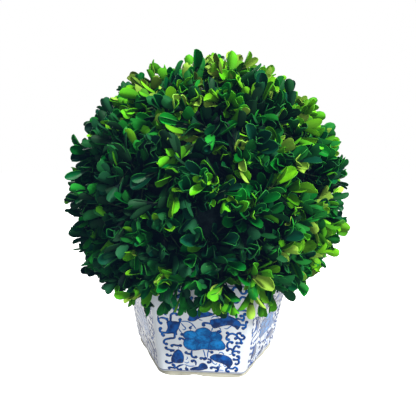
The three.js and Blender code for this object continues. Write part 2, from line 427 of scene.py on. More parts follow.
def new_material(name):
    """A material's board, its shader and its object coordinates."""
    material = bpy.data.materials.new(name)
    material.use_nodes = True
    board = Board(material.node_tree)
    shader = material.node_tree.nodes["Principled BSDF"]
    place = board.add("ShaderNodeTexCoord").outputs["Object"]
    return material, board, shader, place


def mottling(board, place, scale, low, high):
    inputs = {"Vector": place, "Scale": scale, "Low": low, "High": high}
    group = shared_group("Mottling", group_mottling)
    return board.add("ShaderNodeGroup", inputs, node_tree=group).outputs["Factor"]


def grain(board, place, scale, swell):
    inputs = {"Vector": place, "Scale": scale, "Swell": swell}
    group = shared_group("Grain", group_grain)
    return board.add("ShaderNodeGroup", inputs, node_tree=group).outputs["Height"]


def bump(board, shader, height, strength, distance):
    node = board.add("ShaderNodeBump", {"Height": height, "Strength": strength, "Distance": distance})
    board.link(node.outputs["Normal"], shader.inputs["Normal"])


def mix_colour(board, factor, low, high):
    """A colour between two, either of which may be a socket."""
    inputs = {0: factor}
    for index, value in ((6, low), (7, high)):
        inputs[index] = value if isinstance(value, bpy.types.NodeSocket) else (*value[:3], 1.0)
    return board.add("ShaderNodeMix", inputs, data_type="RGBA").outputs[2]


def set_values(shader, **values):
    for key, value in values.items():
        shader.inputs[key.replace("_", " ")].default_value = value


def shade(colour, factor):
    return tuple(part * factor for part in colour)


def blend_colours(one, other, share):
    return tuple(between(a, b, share) for a, b in zip(one, other))


# ---------------------------------------------------------------- pot

FLAT = 0.9  # a face whose normal stands this steep or steeper counts as level
LEVEL_TOLERANCE = 0.2 * MM
ROUND_SEGMENTS = 4
RIM_ROUND = 2.0 * MM
BASE_ROUND = 1.4 * MM
FLOOR_ROUND = 5.0 * MM
CORNER_SEGMENTS = 7
FOOT_CORNER_SEGMENTS = 9
FOOT_SINK = 1.0 * MM  # how far the foot reaches up into the glazed body
FOOT_CUTS = 31  # cuts along each side of the foot, for the arch
ARCH_STEPS = 8


def pot_radius(pot, height):
    """Middle to corner of the glazed body, at a height above the ground."""
    return pot.base_radius + pot.flare * (height - pot.foot_height)


def hexagonal_block(name, low, high, low_radius, high_radius, rounding, segments):
    """A six-sided block with a flat towards -Y, and round upright edges."""
    deselect()
    bpy.ops.mesh.primitive_cylinder_add(
        vertices=SIDES,
        radius=low_radius,
        depth=high - low,
        location=(0, 0, (low + high) / 2),
        rotation=(0, 0, math.pi / SIDES),
    )
    piece = begin(name)
    edit(piece)
    pick("FACE", lambda face: face.normal.z > FLAT)
    grow = high_radius / low_radius
    bpy.ops.transform.resize(value=(grow, grow, 1), center_override=(0, 0, high))
    upright = (high - low) / 2
    pick("EDGE", lambda edge: abs(edge.verts[0].co.z - edge.verts[1].co.z) > upright)
    bpy.ops.mesh.bevel(offset=rounding * math.tan(math.pi / SIDES), segments=segments, profile=0.5)
    return piece


def round_edges(level, width):
    """In edit mode, rounds the edges at one height where a flat face meets a steep one."""
    def at_level(edge):
        near = all(abs(vertex.co.z - level) < LEVEL_TOLERANCE for vertex in edge.verts)
        tops = {face.normal.z > FLAT for face in edge.link_faces}
        undersides = {face.normal.z < -FLAT for face in edge.link_faces}
        return near and len(tops) + len(undersides) > 2

    pick("EDGE", at_level)
    bpy.ops.mesh.bevel(offset=width, segments=ROUND_SEGMENTS, profile=0.5)


def glaze_material(pot, painting):
    material, board, shader, place = new_material("porcelain_glaze")
    patches = mottling(board, place, 38.0, 0.0, 1.0)
    body = mix_colour(board, patches, shade(pot.porcelain, 0.95), shade(pot.porcelain, 1.04))
    specks = board.add("ShaderNodeTexVoronoi", {"Vector": place, "Scale": 210.0, "Randomness": 1.0})
    speck = board.ramp(specks.outputs["Distance"], 0.05, 0.09, 0.35, 0.0)
    body = mix_colour(board, speck, body, blend_colours(pot.porcelain, painting.pale, 0.7))
    height = board.add("ShaderNodeSeparateXYZ", {"Vector": place}).outputs["Z"]
    waver = mottling(board, place, 55.0, -0.15 * MM, 0.15 * MM)
    height = board.combine("ADD", height, waver)
    # Painted lines round the pot: (height, half the width, strength).
    lines = ((pot.foot_height + 1.8 * MM, 0.45 * MM, 0.85), (RIM - 4 * MM, 0.7 * MM, 0.9))
    for level, half_width, strength in lines:
        away = board.combine("SUBTRACT", height, level)
        away = board.add("ShaderNodeMath", {0: away}, operation="ABSOLUTE").outputs[0]
        line = board.ramp(away, half_width, half_width * 1.7, strength, 0.0)
        body = mix_colour(board, line, body, painting.line)
    board.link(body, shader.inputs["Base Color"])
    gloss = mottling(board, place, 90.0, 0.07, 0.14)
    board.link(gloss, shader.inputs["Roughness"])
    bump(board, shader, grain(board, place, 160.0, 0.85), 0.12, 0.4 * MM)
    set_values(shader, IOR=1.5, Coat_Weight=0.6, Coat_Roughness=0.05)
    return material


def foot_material(pot):
    material, board, shader, place = new_material("unglazed_foot")
    patches = mottling(board, place, 120.0, 0.0, 1.0)
    body = mix_colour(board, patches, shade(pot.foot_colour, 0.82), shade(pot.foot_colour, 1.08))
    board.link(body, shader.inputs["Base Color"])
    bump(board, shader, grain(board, place, 1500.0, 0.3), 0.35, 0.25 * MM)
    set_values(shader, Roughness=0.72)
    return material


class TOPIARY_OT_pot(bpy.types.Operator):
    """Models the glazed body of the pot, open at the top and round at its edges"""

    bl_idname = "topiary.pot"
    bl_label = "Glazed Pot"

    def execute(self, context):
        pot = context.scene.topiary_pot
        base, rim_radius = pot.base_radius, pot_radius(pot, RIM)
        corners = (pot.corner_radius, CORNER_SEGMENTS)
        piece = hexagonal_block("pot_glaze", pot.foot_height, RIM, base, rim_radius, *corners)
        pick("FACE", lambda face: face.normal.z > FLAT)
        bpy.ops.mesh.inset(thickness=pot.wall)
        down = -(RIM - pot.foot_height - pot.floor)
        bpy.ops.mesh.extrude_region_move(TRANSFORM_OT_translate={"value": (0, 0, down)})
        floor_radius = pot_radius(pot, pot.foot_height + pot.floor)
        inner = (floor_radius * FLAT_SHARE - pot.wall) / (rim_radius * FLAT_SHARE - pot.wall)
        bpy.ops.transform.resize(value=(inner, inner, 1), center_override=(0, 0, 0))
        round_edges(RIM, RIM_ROUND)
        round_edges(pot.foot_height, BASE_ROUND)
        round_edges(pot.foot_height + pot.floor, FLOOR_ROUND)
        leave_edit(50)
        apply_modifier(piece, "WEIGHTED_NORMAL", keep_sharp=True)
        piece.data.materials.append(glaze_material(pot, context.scene.topiary_painting))
        finish(piece, "porcelain_glaze", "pot")
        return {"FINISHED"}


class TOPIARY_OT_foot(bpy.types.Operator):
    """Models the bare porcelain foot, hollow underneath, with a shallow arch under each side"""

    bl_idname = "topiary.foot"
    bl_label = "Foot"

    def execute(self, context):
        pot = context.scene.topiary_pot
        radius = pot.base_radius - pot.foot_inset / FLAT_SHARE
        top = pot.foot_height + FOOT_SINK
        corners = (pot.foot_corner_radius, FOOT_CORNER_SEGMENTS)
        piece = hexagonal_block("pot_foot", 0, top, radius, radius, *corners)

        def is_side(edge):
            one, other = edge.verts
            return edge.calc_length() > radius / 2 and abs(one.co.z - other.co.z) < TINY

        pick("EDGE", is_side)
        bpy.ops.mesh.subdivide(number_cuts=FOOT_CUTS)
        pick("FACE", lambda face: face.normal.z < -FLAT)
        bpy.ops.mesh.inset(thickness=pot.foot_wall)
        bpy.ops.mesh.extrude_region_move(TRANSFORM_OT_translate={"value": (0, 0, pot.foot_recess)})

        def along_side(vertex):
            """How far along its own side a vertex is from the side's middle."""
            turn = math.atan2(vertex.co.y, vertex.co.x) + math.pi / 2 + math.pi / SIDES
            return vertex.co.xy.length * math.sin(turn % (2 * math.pi / SIDES) - math.pi / SIDES)

        half = pot.arch_length / 2
        for step in range(ARCH_STEPS):
            near, far = half * step / ARCH_STEPS, half * (step + 1) / ARCH_STEPS
            rise = pot.arch_height * math.cos((near + far) / 2 / half * math.pi / 2) ** 2

            def in_step(vertex):
                return vertex.co.z < TINY and near <= abs(along_side(vertex) - pot.arch_offset) < far

            pick("VERT", in_step)
            bpy.ops.transform.translate(value=(0, 0, rise))
        leave_edit(35)
        piece.data.materials.append(foot_material(pot))
        finish(piece, "unglazed_foot")
        return {"FINISHED"}


# ---------------------------------------------------------------- painting

# The drawing on one panel, in millimetres: x across from the panel's middle, h up from the base of the
# glaze. A scroll is (how it starts, how it ends, points).
TAIL, BALL, JOIN = range(3)
SCROLLS = [
    # down the left border
    (TAIL, BALL, [(-40.2, 57.5), (-40.0, 53.5), (-39.0, 50.3), (-36.2, 48.6)]),
    (TAIL, BALL, [(-40.0, 53.6), (-37.4, 54.9), (-34.0, 54.6), (-30.6, 52.8)]),
    (BALL, JOIN, [(-36.4, 43.4), (-38.6, 43.8), (-38.6, 41.4), (-36.6, 39.8), (-32.8, 39.6)]),
    (JOIN, BALL, [(-36.2, 39.8), (-36.8, 37.6), (-34.0, 36.0)]),
    (JOIN, BALL, [(-25.2, 38.8), (-25.5, 34.8), (-29.6, 33.8), (-34.0, 32.2), (-35.3, 29.4), (-33.4, 27.8),
        (-31.2, 28.2)]),
    (BALL, BALL, [(-28.8, 24.8), (-26.6, 27.0), (-22.8, 26.6), (-18.2, 26.9)]),
    (BALL, JOIN, [(-33.6, 25.2), (-33.0, 22.6), (-29.6, 21.6), (-25.4, 21.2)]),
    (BALL, JOIN, [(-29.4, 19.2), (-28.4, 20.8), (-26.0, 20.6)]),
    (BALL, JOIN, [(-33.0, 17.8), (-32.4, 15.6), (-30.4, 15.0), (-28.2, 16.2)]),
    (BALL, JOIN, [(-33.4, 10.4), (-33.0, 7.9), (-30.4, 7.1), (-27.4, 8.2)]),
    (BALL, BALL, [(-31.8, 0.4), (-29.8, 2.2), (-26.6, 2.2), (-25.8, 4.6), (-28.6, 5.8)]),
    (BALL, TAIL, [(-18.2, 0.9), (-21.4, 0.4), (-23.4, 2.0), (-21.4, 4.4), (-16.8, 6.4)]),
    (JOIN, BALL, [(-23.2, 2.2), (-25.4, 2.2), (-26.4, 0.6)]),
    (BALL, TAIL, [(-12.2, 1.2), (-15.0, 1.4), (-14.4, 4.8)]),
    # over the upper left leaf
    (BALL, BALL, [(-30.0, 66.4), (-27.2, 66.8), (-25.2, 64.4), (-22.0, 64.0), (-19.0, 63.2)]),
    (TAIL, BALL, [(-25.0, 65.0), (-22.4, 67.4), (-20.4, 69.4), (-17.2, 68.0)]),
    (BALL, TAIL, [(-34.0, 60.4), (-33.4, 58.6), (-32.0, 57.4)]),
    (JOIN, JOIN, [(-24.4, 66.2), (-24.8, 62.8), (-25.6, 60.4), (-28.0, 58.8), (-28.6, 55.6), (-28.8, 52.4)]),
    (JOIN, BALL, [(-26.0, 60.0), (-24.0, 60.2), (-21.8, 57.8)]),
    (BALL, JOIN, [(-18.4, 54.6), (-20.2, 53.8), (-20.4, 51.6), (-21.6, 49.8)]),
    (BALL, TAIL, [(-11.4, 44.4), (-10.6, 46.6), (-8.6, 48.4)]),
    # round the flower
    (BALL, JOIN, [(-21.6, 32.8), (-19.4, 34.6), (-16.8, 33.6), (-14.8, 31.0)]),
    (BALL, JOIN, [(-19.6, 40.2), (-18.0, 38.4), (-15.4, 38.4)]),
    (BALL, JOIN, [(-15.8, 20.8), (-13.8, 18.6), (-10.4, 18.2)]),
    (TAIL, BALL, [(-8.8, 23.4), (-9.8, 19.6), (-9.4, 15.8), (-6.6, 14.4), (-4.6, 16.4)]),
    (BALL, BALL, [(-2.4, 13.0), (0.6, 14.2), (2.4, 12.6), (4.2, 15.4)]),
    (JOIN, BALL, [(5.2, 13.4), (8.0, 12.4), (7.8, 9.8), (4.4, 9.9)]),
    (TAIL, BALL, [(5.6, 21.8), (7.6, 21.4), (10.8, 20.3)]),
    (BALL, TAIL, [(-10.4, 9.4), (-7.8, 11.4), (-5.8, 9.0), (-5.8, 5.4)]),
    (BALL, JOIN, [(17.2, 42.0), (15.2, 43.8), (13.6, 42.6), (13.2, 39.8)]),
    # down the right border
    (BALL, JOIN, [(21.2, 42.6), (23.2, 41.8), (24.6, 40.4)]),
    (BALL, JOIN, [(25.6, 35.2), (22.2, 35.4), (22.6, 38.4), (24.6, 40.6)]),
    (JOIN, BALL, [(24.4, 40.8), (27.6, 41.5), (30.6, 40.4), (32.8, 42.2), (35.8, 41.6)]),
    (JOIN, BALL, [(30.8, 40.8), (32.2, 38.0), (34.6, 35.8), (35.6, 33.4), (35.8, 30.2)]),
    (BALL, JOIN, [(28.8, 36.8), (30.8, 36.6), (33.0, 37.4)]),
    (JOIN, BALL, [(34.4, 35.8), (37.2, 36.0), (38.6, 38.2), (36.8, 39.9), (35.2, 38.6)]),
    (BALL, JOIN, [(30.2, 32.6), (32.6, 31.5), (35.2, 32.2)]),
    (BALL, JOIN, [(28.2, 30.8), (26.0, 33.0), (23.4, 31.4), (22.9, 28.4), (24.2, 26.0), (26.8, 25.2),
        (28.6, 23.2)]),
    (BALL, JOIN, [(21.8, 23.6), (23.8, 24.2), (25.0, 25.8)]),
    (BALL, BALL, [(34.8, 26.6), (31.8, 28.8), (29.6, 27.0), (28.6, 23.6), (28.2, 20.8), (30.8, 17.8)]),
    (JOIN, BALL, [(28.6, 22.4), (31.0, 23.1), (33.0, 22.7), (34.8, 20.8)]),
    (BALL, BALL, [(31.6, 16.8), (34.2, 17.6), (34.4, 15.0), (31.6, 13.8), (28.4, 14.8)]),
    (JOIN, BALL, [(33.4, 14.6), (34.6, 11.6), (33.2, 9.3), (30.4, 9.7)]),
    (JOIN, BALL, [(26.0, 4.2), (29.0, 4.1), (31.2, 5.6), (33.2, 3.2), (30.6, 0.9)]),
    (BALL, JOIN, [(26.4, 0.7), (23.2, 0.8), (22.8, 3.2), (24.4, 4.6), (26.4, 4.6)]),
    (BALL, BALL, [(7.8, 2.2), (9.8, 4.6), (13.2, 4.0), (16.8, 5.2)]),
    (JOIN, BALL, [(13.0, 4.2), (15.2, 2.8), (14.4, 0.8), (12.0, 0.2)]),
    # over the upper right leaf
    (BALL, TAIL, [(11.8, 61.8), (12.6, 64.8), (15.0, 65.4), (18.2, 64.6)]),
    (BALL, BALL, [(17.8, 62.0), (21.0, 62.8), (25.0, 64.6), (28.4, 64.4), (30.6, 62.0)]),
    (JOIN, JOIN, [(22.4, 63.4), (22.3, 60.8), (22.6, 57.6)]),
    (JOIN, JOIN, [(28.2, 64.2), (32.0, 65.2), (36.0, 65.6), (40.2, 65.0)]),
    (BALL, TAIL, [(36.6, 63.4), (38.2, 61.4), (40.6, 62.8), (40.4, 66.4), (39.6, 69.4)]),
    (BALL, BALL, [(32.8, 58.8), (35.4, 60.2), (37.0, 58.0), (35.2, 54.2)]),
    (JOIN, JOIN, [(29.4, 57.2), (32.4, 56.8), (35.6, 56.0)]),
    (BALL, BALL, [(40.2, 55.4), (39.0, 52.0), (38.8, 48.6), (35.4, 46.6)]),
    (JOIN, JOIN, [(33.8, 50.8), (36.6, 50.8), (39.0, 50.6)]),
    (BALL, JOIN, [(3.0, 48.8), (0.6, 49.4), (1.2, 51.2), (4.4, 51.4), (8.6, 50.8)]),
]
TENDRILS = [
    [(-20.0, 52.2), (-14.4, 52.4), (-10.4, 50.8), (-7.6, 47.8), (-5.4, 44.4)],
    [(-19.6, 50.8), (-17.2, 47.8), (-15.2, 45.4), (-16.6, 43.6), (-18.4, 44.6)],
    [(-21.8, 45.4), (-20.4, 42.6), (-18.4, 40.2)],
    [(0.8, 24.0), (2.2, 20.0), (3.2, 15.0)],
    [(6.4, 24.0), (5.4, 19.4), (5.4, 14.4)],
    [(-16.8, 9.2), (-14.4, 8.2), (-12.4, 9.2), (-12.6, 10.4)],
    [(-14.4, 15.4), (-13.6, 13.4), (-15.4, 11.6)],
    [(-16.8, 6.6), (-12.0, 4.8), (-6.2, 5.4)],
    [(15.2, 1.6), (18.0, 1.8), (20.8, 1.4)],
    [(19.6, 46.8), (22.4, 46.4), (25.0, 48.4), (27.2, 50.4)],
    [(8.4, 42.4), (9.0, 45.6), (10.6, 48.4)],
    [(14.8, 47.6), (16.4, 46.2), (16.6, 44.2)],
    [(15.4, 19.4), (17.0, 21.4), (19.4, 20.6), (20.6, 18.2)],
    [(17.4, 9.4), (16.0, 6.8), (18.6, 5.8)],
    [(20.0, 8.4), (21.4, 6.2), (23.6, 7.4)],
    [(9.8, 12.4), (10.2, 9.4), (12.8, 7.8), (14.4, 9.8)],
    [(7.6, 56.2), (10.6, 58.8), (14.8, 57.6)],
    [(-4.0, 56.2), (-2.2, 54.4), (0.6, 54.0)],
    [(24.6, 19.2), (28.0, 20.2), (28.6, 22.0)],
    [(-22.2, 22.8), (-21.6, 25.4)],
]
PAINTED_LEAVES = [
    [(-32.0, 51.2), (-27.6, 51.8), (-21.0, 50.8), (-21.8, 46.0), (-23.6, 41.4), (-23.4, 38.0),
        (-26.6, 39.6), (-32.8, 39.4), (-31.2, 45.0)],
    [(-12.6, 61.8), (-7.0, 62.6), (-1.0, 63.6), (5.0, 62.4), (9.8, 60.4), (4.0, 58.2), (-2.6, 56.4),
        (-7.6, 53.2), (-12.6, 53.6), (-11.4, 57.6)],
    [(7.4, 54.2), (12.0, 55.8), (17.6, 57.2), (22.4, 59.4), (27.2, 57.6), (31.0, 55.4), (34.0, 52.2),
        (33.6, 49.0), (31.8, 46.0),
     (29.4, 48.4), (24.4, 50.4), (17.6, 49.2), (11.4, 46.8), (9.0, 48.6)],
    [(-21.9, 22.2), (-19.6, 20.4), (-17.6, 16.0), (-17.6, 11.0), (-19.2, 8.2), (-27.2, 8.2), (-28.4, 12.0),
        (-26.6, 17.4), (-24.4, 20.6)],
    [(7.8, 15.6), (11.8, 18.6), (17.2, 18.8), (23.2, 17.4), (27.2, 14.2), (28.4, 9.8), (27.0, 7.2),
        (25.2, 4.6), (22.8, 7.4),
     (18.8, 9.6), (13.0, 11.4), (9.4, 13.4)],
    [(-10.8, 1.2), (-7.2, 3.6), (-3.2, 4.4), (-1.6, 7.2), (1.4, 8.4), (4.2, 6.2), (5.0, 3.2), (2.2, 2.0),
        (-0.8, 0.9), (-5.8, 0.9)],
]
PETALS = [
    [(-6.0, 41.2), (-10.0, 42.6), (-14.8, 41.8), (-17.4, 38.8), (-16.4, 35.8), (-13.2, 34.0), (-8.0, 34.4),
        (-4.0, 37.4)],
    [(8.0, 41.6), (11.6, 42.6), (15.2, 41.4), (17.8, 38.4), (17.2, 35.2), (14.0, 33.4), (9.0, 34.0),
        (6.0, 37.6)],
    [(-14.0, 34.8), (-16.6, 31.2), (-16.4, 27.0), (-13.4, 23.8), (-9.0, 22.6), (-3.6, 23.2), (-1.4, 27.0),
        (-3.0, 31.6), (-8.0, 34.6)],
    [(6.4, 24.0), (12.0, 23.8), (17.2, 24.0), (20.4, 25.4), (21.0, 28.6), (18.8, 32.2), (15.8, 34.6),
        (10.0, 33.6), (6.4, 30.0)],
    [(-4.4, 23.0), (1.0, 24.2), (7.0, 23.8), (8.4, 27.4), (4.2, 32.0), (-1.2, 31.4), (-4.4, 27.2)],
    [(-6.2, 41.0), (-4.8, 44.2), (-1.4, 45.6), (1.6, 46.4), (5.4, 45.0), (8.2, 41.6), (7.0, 38.0),
        (3.0, 36.0), (-2.2, 36.2)],
    [(-5.6, 37.6), (-1.4, 38.8), (3.8, 38.4), (8.0, 36.4), (7.6, 32.6), (3.0, 30.4), (-3.2, 30.8),
        (-6.8, 34.2)],
]
FLOWER_HEART = (0.6, 31.5)
# Where the drawing goes on under the leaves: one scroll, repeated along a row below the rim.
TOP_SCROLL = [(-6.6, -1.0), (-5.0, 2.4), (-1.6, 3.2), (0.4, 0.2), (2.6, -2.6), (5.8, -1.6), (6.2, 1.6)]
TOP_ROW = (-32.0, -16.0, 0.0, 16.0, 32.0)
TOP_LEVELS = (76.0, 84.5)
# How finely the curves are drawn, in millimetres.
SCROLL_STEP, TENDRIL_STEP, VEIN_STEP, OUTLINE_STEP, WASH_STEP = 0.5, 0.7, 1.0, 0.9, 1.1
WASH_LAYER = 0.002 * MM  # how far each wash lies over the one before it
HAND_STRAY = 0.12 * MM  # how far the brush strays on every panel, the front one too
TAIL_SHARE = 0.35  # a tail's width at its end, of the stroke's
TAIL_LENGTH = 4  # how many half widths of the stroke a tail is long
THINNEST = 0.04 * MM
# Width of the finer lines, of a scroll's.
TENDRIL_WIDTH, OUTLINE_WIDTH, VEIN_WIDTH = 0.5, 0.5, 0.36
VEIN_TURNS = (-0.3, 0.0, 0.3)  # in radians, from a petal's middle
POOL_REACH = 2.5  # how far the colour pools from the middle of a ball, in its radii
DEEP_BASE = (18 * MM, 34 * MM, 0.6)  # the painting is deeper below these heights, by this much at most


def smooth_line(points, step, closed=False):
    """Points along a smooth curve through the points given, about one step apart (Catmull-Rom)."""
    points = np.array(points, float)
    if closed:
        ends = np.concatenate([points[-1:], points, points[:2]])
    else:
        ends = np.concatenate([2 * points[:1] - points[1:2], points, 2 * points[-1:] - points[-2:-1]])
    made = []
    for i in range(len(ends) - 3):
        a, b, c, d = ends[i : i + 4]
        count = max(2, int(round(np.linalg.norm(c - b) / step)))
        t = (np.arange(count) / count)[:, None]
        square, cube = 2 * a - 5 * b + 4 * c - d, 3 * b - a - 3 * c + d
        made.append(0.5 * (2 * b + (c - a) * t + square * t**2 + cube * t**3))
    if not closed:
        made.append(points[-1:])
    return np.concatenate(made)


def panel_points(pot, painting, points, side):
    """Drawing points (x, h, lift), in metres, laid on one panel with the hand's own wobble."""
    x, h, lift = points[..., 0], points[..., 1], points[..., 2]
    strays = painting.wobble * (side != 0) + HAND_STRAY
    x = x + strays * np.sin(h * 205 + 1.9 * side + x * 61)
    h = h + strays * np.sin(x * 187 + 2.7 * side + h * 43)
    angle = -math.pi / 2 + side * math.pi / 3
    facing = np.array([math.cos(angle), math.sin(angle), 0])
    across = np.array([-math.sin(angle), math.cos(angle), 0])
    lean = math.atan(pot.flare * FLAT_SHARE)
    normal = facing * math.cos(lean) - np.array([0, 0, math.sin(lean)])
    level = painting.low + h
    apothem = (pot.base_radius + pot.flare * (level - pot.foot_height)) * FLAT_SHARE
    up = np.array([0, 0, 1.0]) * level[..., None]
    return facing * apothem[..., None] + across * x[..., None] + up + normal * lift[..., None]


def brush_radii(line, start, end, stroke, ball):
    """Half the brush's width along a line: swollen at a ball, thin at a tail, and full where it joins."""
    along = np.concatenate([[0], np.cumsum(np.linalg.norm(np.diff(line, axis=0), axis=1))])
    radii = np.full(len(line), stroke)
    for away, kind in ((along, start), (along[-1] - along, end)):
        if kind == BALL:
            swell = np.sqrt(np.clip(ball**2 - (away - ball) ** 2, 0, None))
            radii = np.where(away < ball, swell, np.maximum(radii, swell))
        elif kind == TAIL:
            radii = radii * np.clip(between(TAIL_SHARE, 1, away / (TAIL_LENGTH * stroke)), 0, 1)
            radii = np.where(away < stroke, radii * np.sqrt(np.clip(away / stroke, 0.05, 1)), radii)
    return np.maximum(radii, THINNEST)


def stroke_model(name, strokes):
    """A mesh of round brush strokes in the drawing's plane, each (line, radii)."""
    curve = bpy.data.curves.new(name, "CURVE")
    curve.dimensions = "3D"
    curve.bevel_depth = 1.0
    curve.bevel_resolution = 0
    curve.use_fill_caps = True
    for line, radii in strokes:
        spline = curve.splines.new("POLY")
        spline.points.add(len(line) - 1)
        for point, (x, h), radius in zip(spline.points, line, radii):
            point.co = (x, h, 0, 1)
            point.radius = radius
    piece = bpy.data.objects.new(name, curve)
    bpy.context.scene.collection.objects.link(piece)
    deselect()
    piece.select_set(True)
    bpy.context.view_layer.objects.active = piece
    bpy.ops.object.convert(target="MESH")
    return bpy.context.object


def wash_model(name, outlines, rings):
    """A closed mesh of flat washes in the drawing's plane; rings are (share of the outline, height)."""
    vertices, faces = [], []
    for order, outline in enumerate(outlines):
        line = smooth_line(outline, WASH_STEP, closed=True) * MM
        area = np.sum(line[:, 0] * np.roll(line[:, 1], -1) - line[:, 1] * np.roll(line[:, 0], -1))
        if area < 0:
            line = line[::-1]
        middle = line.mean(axis=0)
        count, base = len(line), len(vertices)
        for share, height in rings:
            level = height + order * WASH_LAYER * (share < 1)
            vertices += [(x, h, level) for x, h in middle + (line - middle) * share]
        for ring in range(len(rings) - 1):
            start = base + ring * count
            for i in range(count):
                after = (i + 1) % count
                faces.append((start + i, start + after, start + count + after, start + count + i))
        faces.append(range(base + (len(rings) - 1) * count, base + len(rings) * count))
        faces.append(range(base + count - 1, base - 1, -1))
    mesh = bpy.data.meshes.new(name)
    mesh.from_pydata(vertices, [], [list(face) for face in faces])
    piece = bpy.data.objects.new(name, mesh)
    bpy.context.scene.collection.objects.link(piece)
    return piece


def lay_on_panels(name, model, pot, painting, flatten, pools):
    """Copies a flat model of strokes or washes to all six panels as one piece."""
    numbers = mesh_numbers(model.data)
    flat = numbers["co"] * [1, 1, flatten]
    points = np.stack([panel_points(pot, painting, flat, side) for side in range(SIDES)])
    bpy.data.objects.remove(model)
    return joined_copies(name, [(numbers, points)], {"pool": [np.tile(pools(numbers["co"]), SIDES)]})


def cobalt_material(name, light, deep, edge_share):
    """Cobalt under the glaze: deeper where it pools and near the base, and streaked by the brush."""
    material, board, shader, place = new_material(name)
    pool = board.add("ShaderNodeAttribute", attribute_name="pool").outputs["Fac"]
    streaks = mottling(board, place, 260.0, 0.0, 0.55)
    clouds_of_wash = mottling(board, place, 130.0, -0.6, 0.9)
    height = board.add("ShaderNodeSeparateXYZ", {"Vector": place}).outputs["Z"]
    low, high, most = DEEP_BASE
    near_base = board.ramp(height, low, high, most, 0.0)
    depth = board.combine("MULTIPLY", pool, edge_share)
    depth = board.combine("ADD", depth, streaks)
    depth = board.combine("ADD", depth, near_base)
    depth = board.combine("ADD", depth, clouds_of_wash, use_clamp=True)
    board.link(mix_colour(board, depth, light, deep), shader.inputs["Base Color"])
    gloss = mottling(board, place, 90.0, 0.12, 0.22)
    board.link(gloss, shader.inputs["Roughness"])
    set_values(shader, Coat_Weight=1.0, Coat_IOR=1.33, Coat_Roughness=0.08, Specular_IOR_Level=0.2)
    return material


def even_pool(depth):
    """A pooling of the colour that is the same all over."""
    return lambda points: np.full(len(points), float(depth))


class TOPIARY_OT_scrolls(bpy.types.Operator):
    """Paints the scrolls with ball ends, and the thin tendrils, on all six panels"""

    bl_idname = "topiary.scrolls"
    bl_label = "Painted Scrolls"

    def execute(self, context):
        pot, painting = context.scene.topiary_pot, context.scene.topiary_painting
        scrolls = list(SCROLLS)
        for row, level in enumerate(TOP_LEVELS):
            for place, x in enumerate(TOP_ROW):
                turn = 1 if (row + place) % 2 else -1
                scrolls.append((BALL, BALL, [(x + dx, level + turn * dh) for dx, dh in TOP_SCROLL]))
        strokes, balls = [], []
        for start, end, points in scrolls:
            line = smooth_line(points, SCROLL_STEP) * MM
            strokes.append((line, brush_radii(line, start, end, painting.stroke, painting.ball)))
            balls += [line[0]] * (start == BALL) + [line[-1]] * (end == BALL)
        balls = np.array(balls)

        def pools(points):
            nearest = np.min(np.linalg.norm(points[:, None, :2] - balls[None], axis=2), axis=1)
            return np.clip(1 - nearest / (POOL_REACH * painting.ball), 0, 1)

        flatten = painting.relief / painting.stroke
        model = stroke_model("scroll_model", strokes)
        piece = lay_on_panels("painted_scrolls", model, pot, painting, flatten, pools)
        piece.data.materials.append(cobalt_material("cobalt_scrolls", painting.middle, painting.deep, 0.7))
        finish(piece, "cobalt_painting")
        thin = []
        for points in TENDRILS:
            line = smooth_line(points, TENDRIL_STEP) * MM
            width = TENDRIL_WIDTH * painting.stroke
            thin.append((line, brush_radii(line, TAIL, TAIL, width, painting.ball)))
        model = stroke_model("tendril_model", thin)
        flatten = flatten / TENDRIL_WIDTH
        piece = lay_on_panels("painted_tendrils", model, pot, painting, flatten, even_pool(0))
        pale = blend_colours(painting.middle, painting.pale, 0.6)
        piece.data.materials.append(cobalt_material("cobalt_tendrils", pale, painting.middle, 0.5))
        finish(piece, "cobalt_painting")
        return {"FINISHED"}


def petal_veins():
    """Three fine brush lines on each petal, fanning out from the flower's heart."""
    heart = np.array(FLOWER_HEART)
    veins = []
    for petal in PETALS:
        away = np.mean(petal, axis=0) - heart
        for turn in VEIN_TURNS:
            cos, sin = math.cos(turn), math.sin(turn)
            turned = np.array([away[0] * cos - away[1] * sin, away[0] * sin + away[1] * cos])
            middle = turned * 0.95 + away * 0.05
            veins.append([heart + turned * 0.55, heart + middle, heart + turned * 1.3])
    return veins


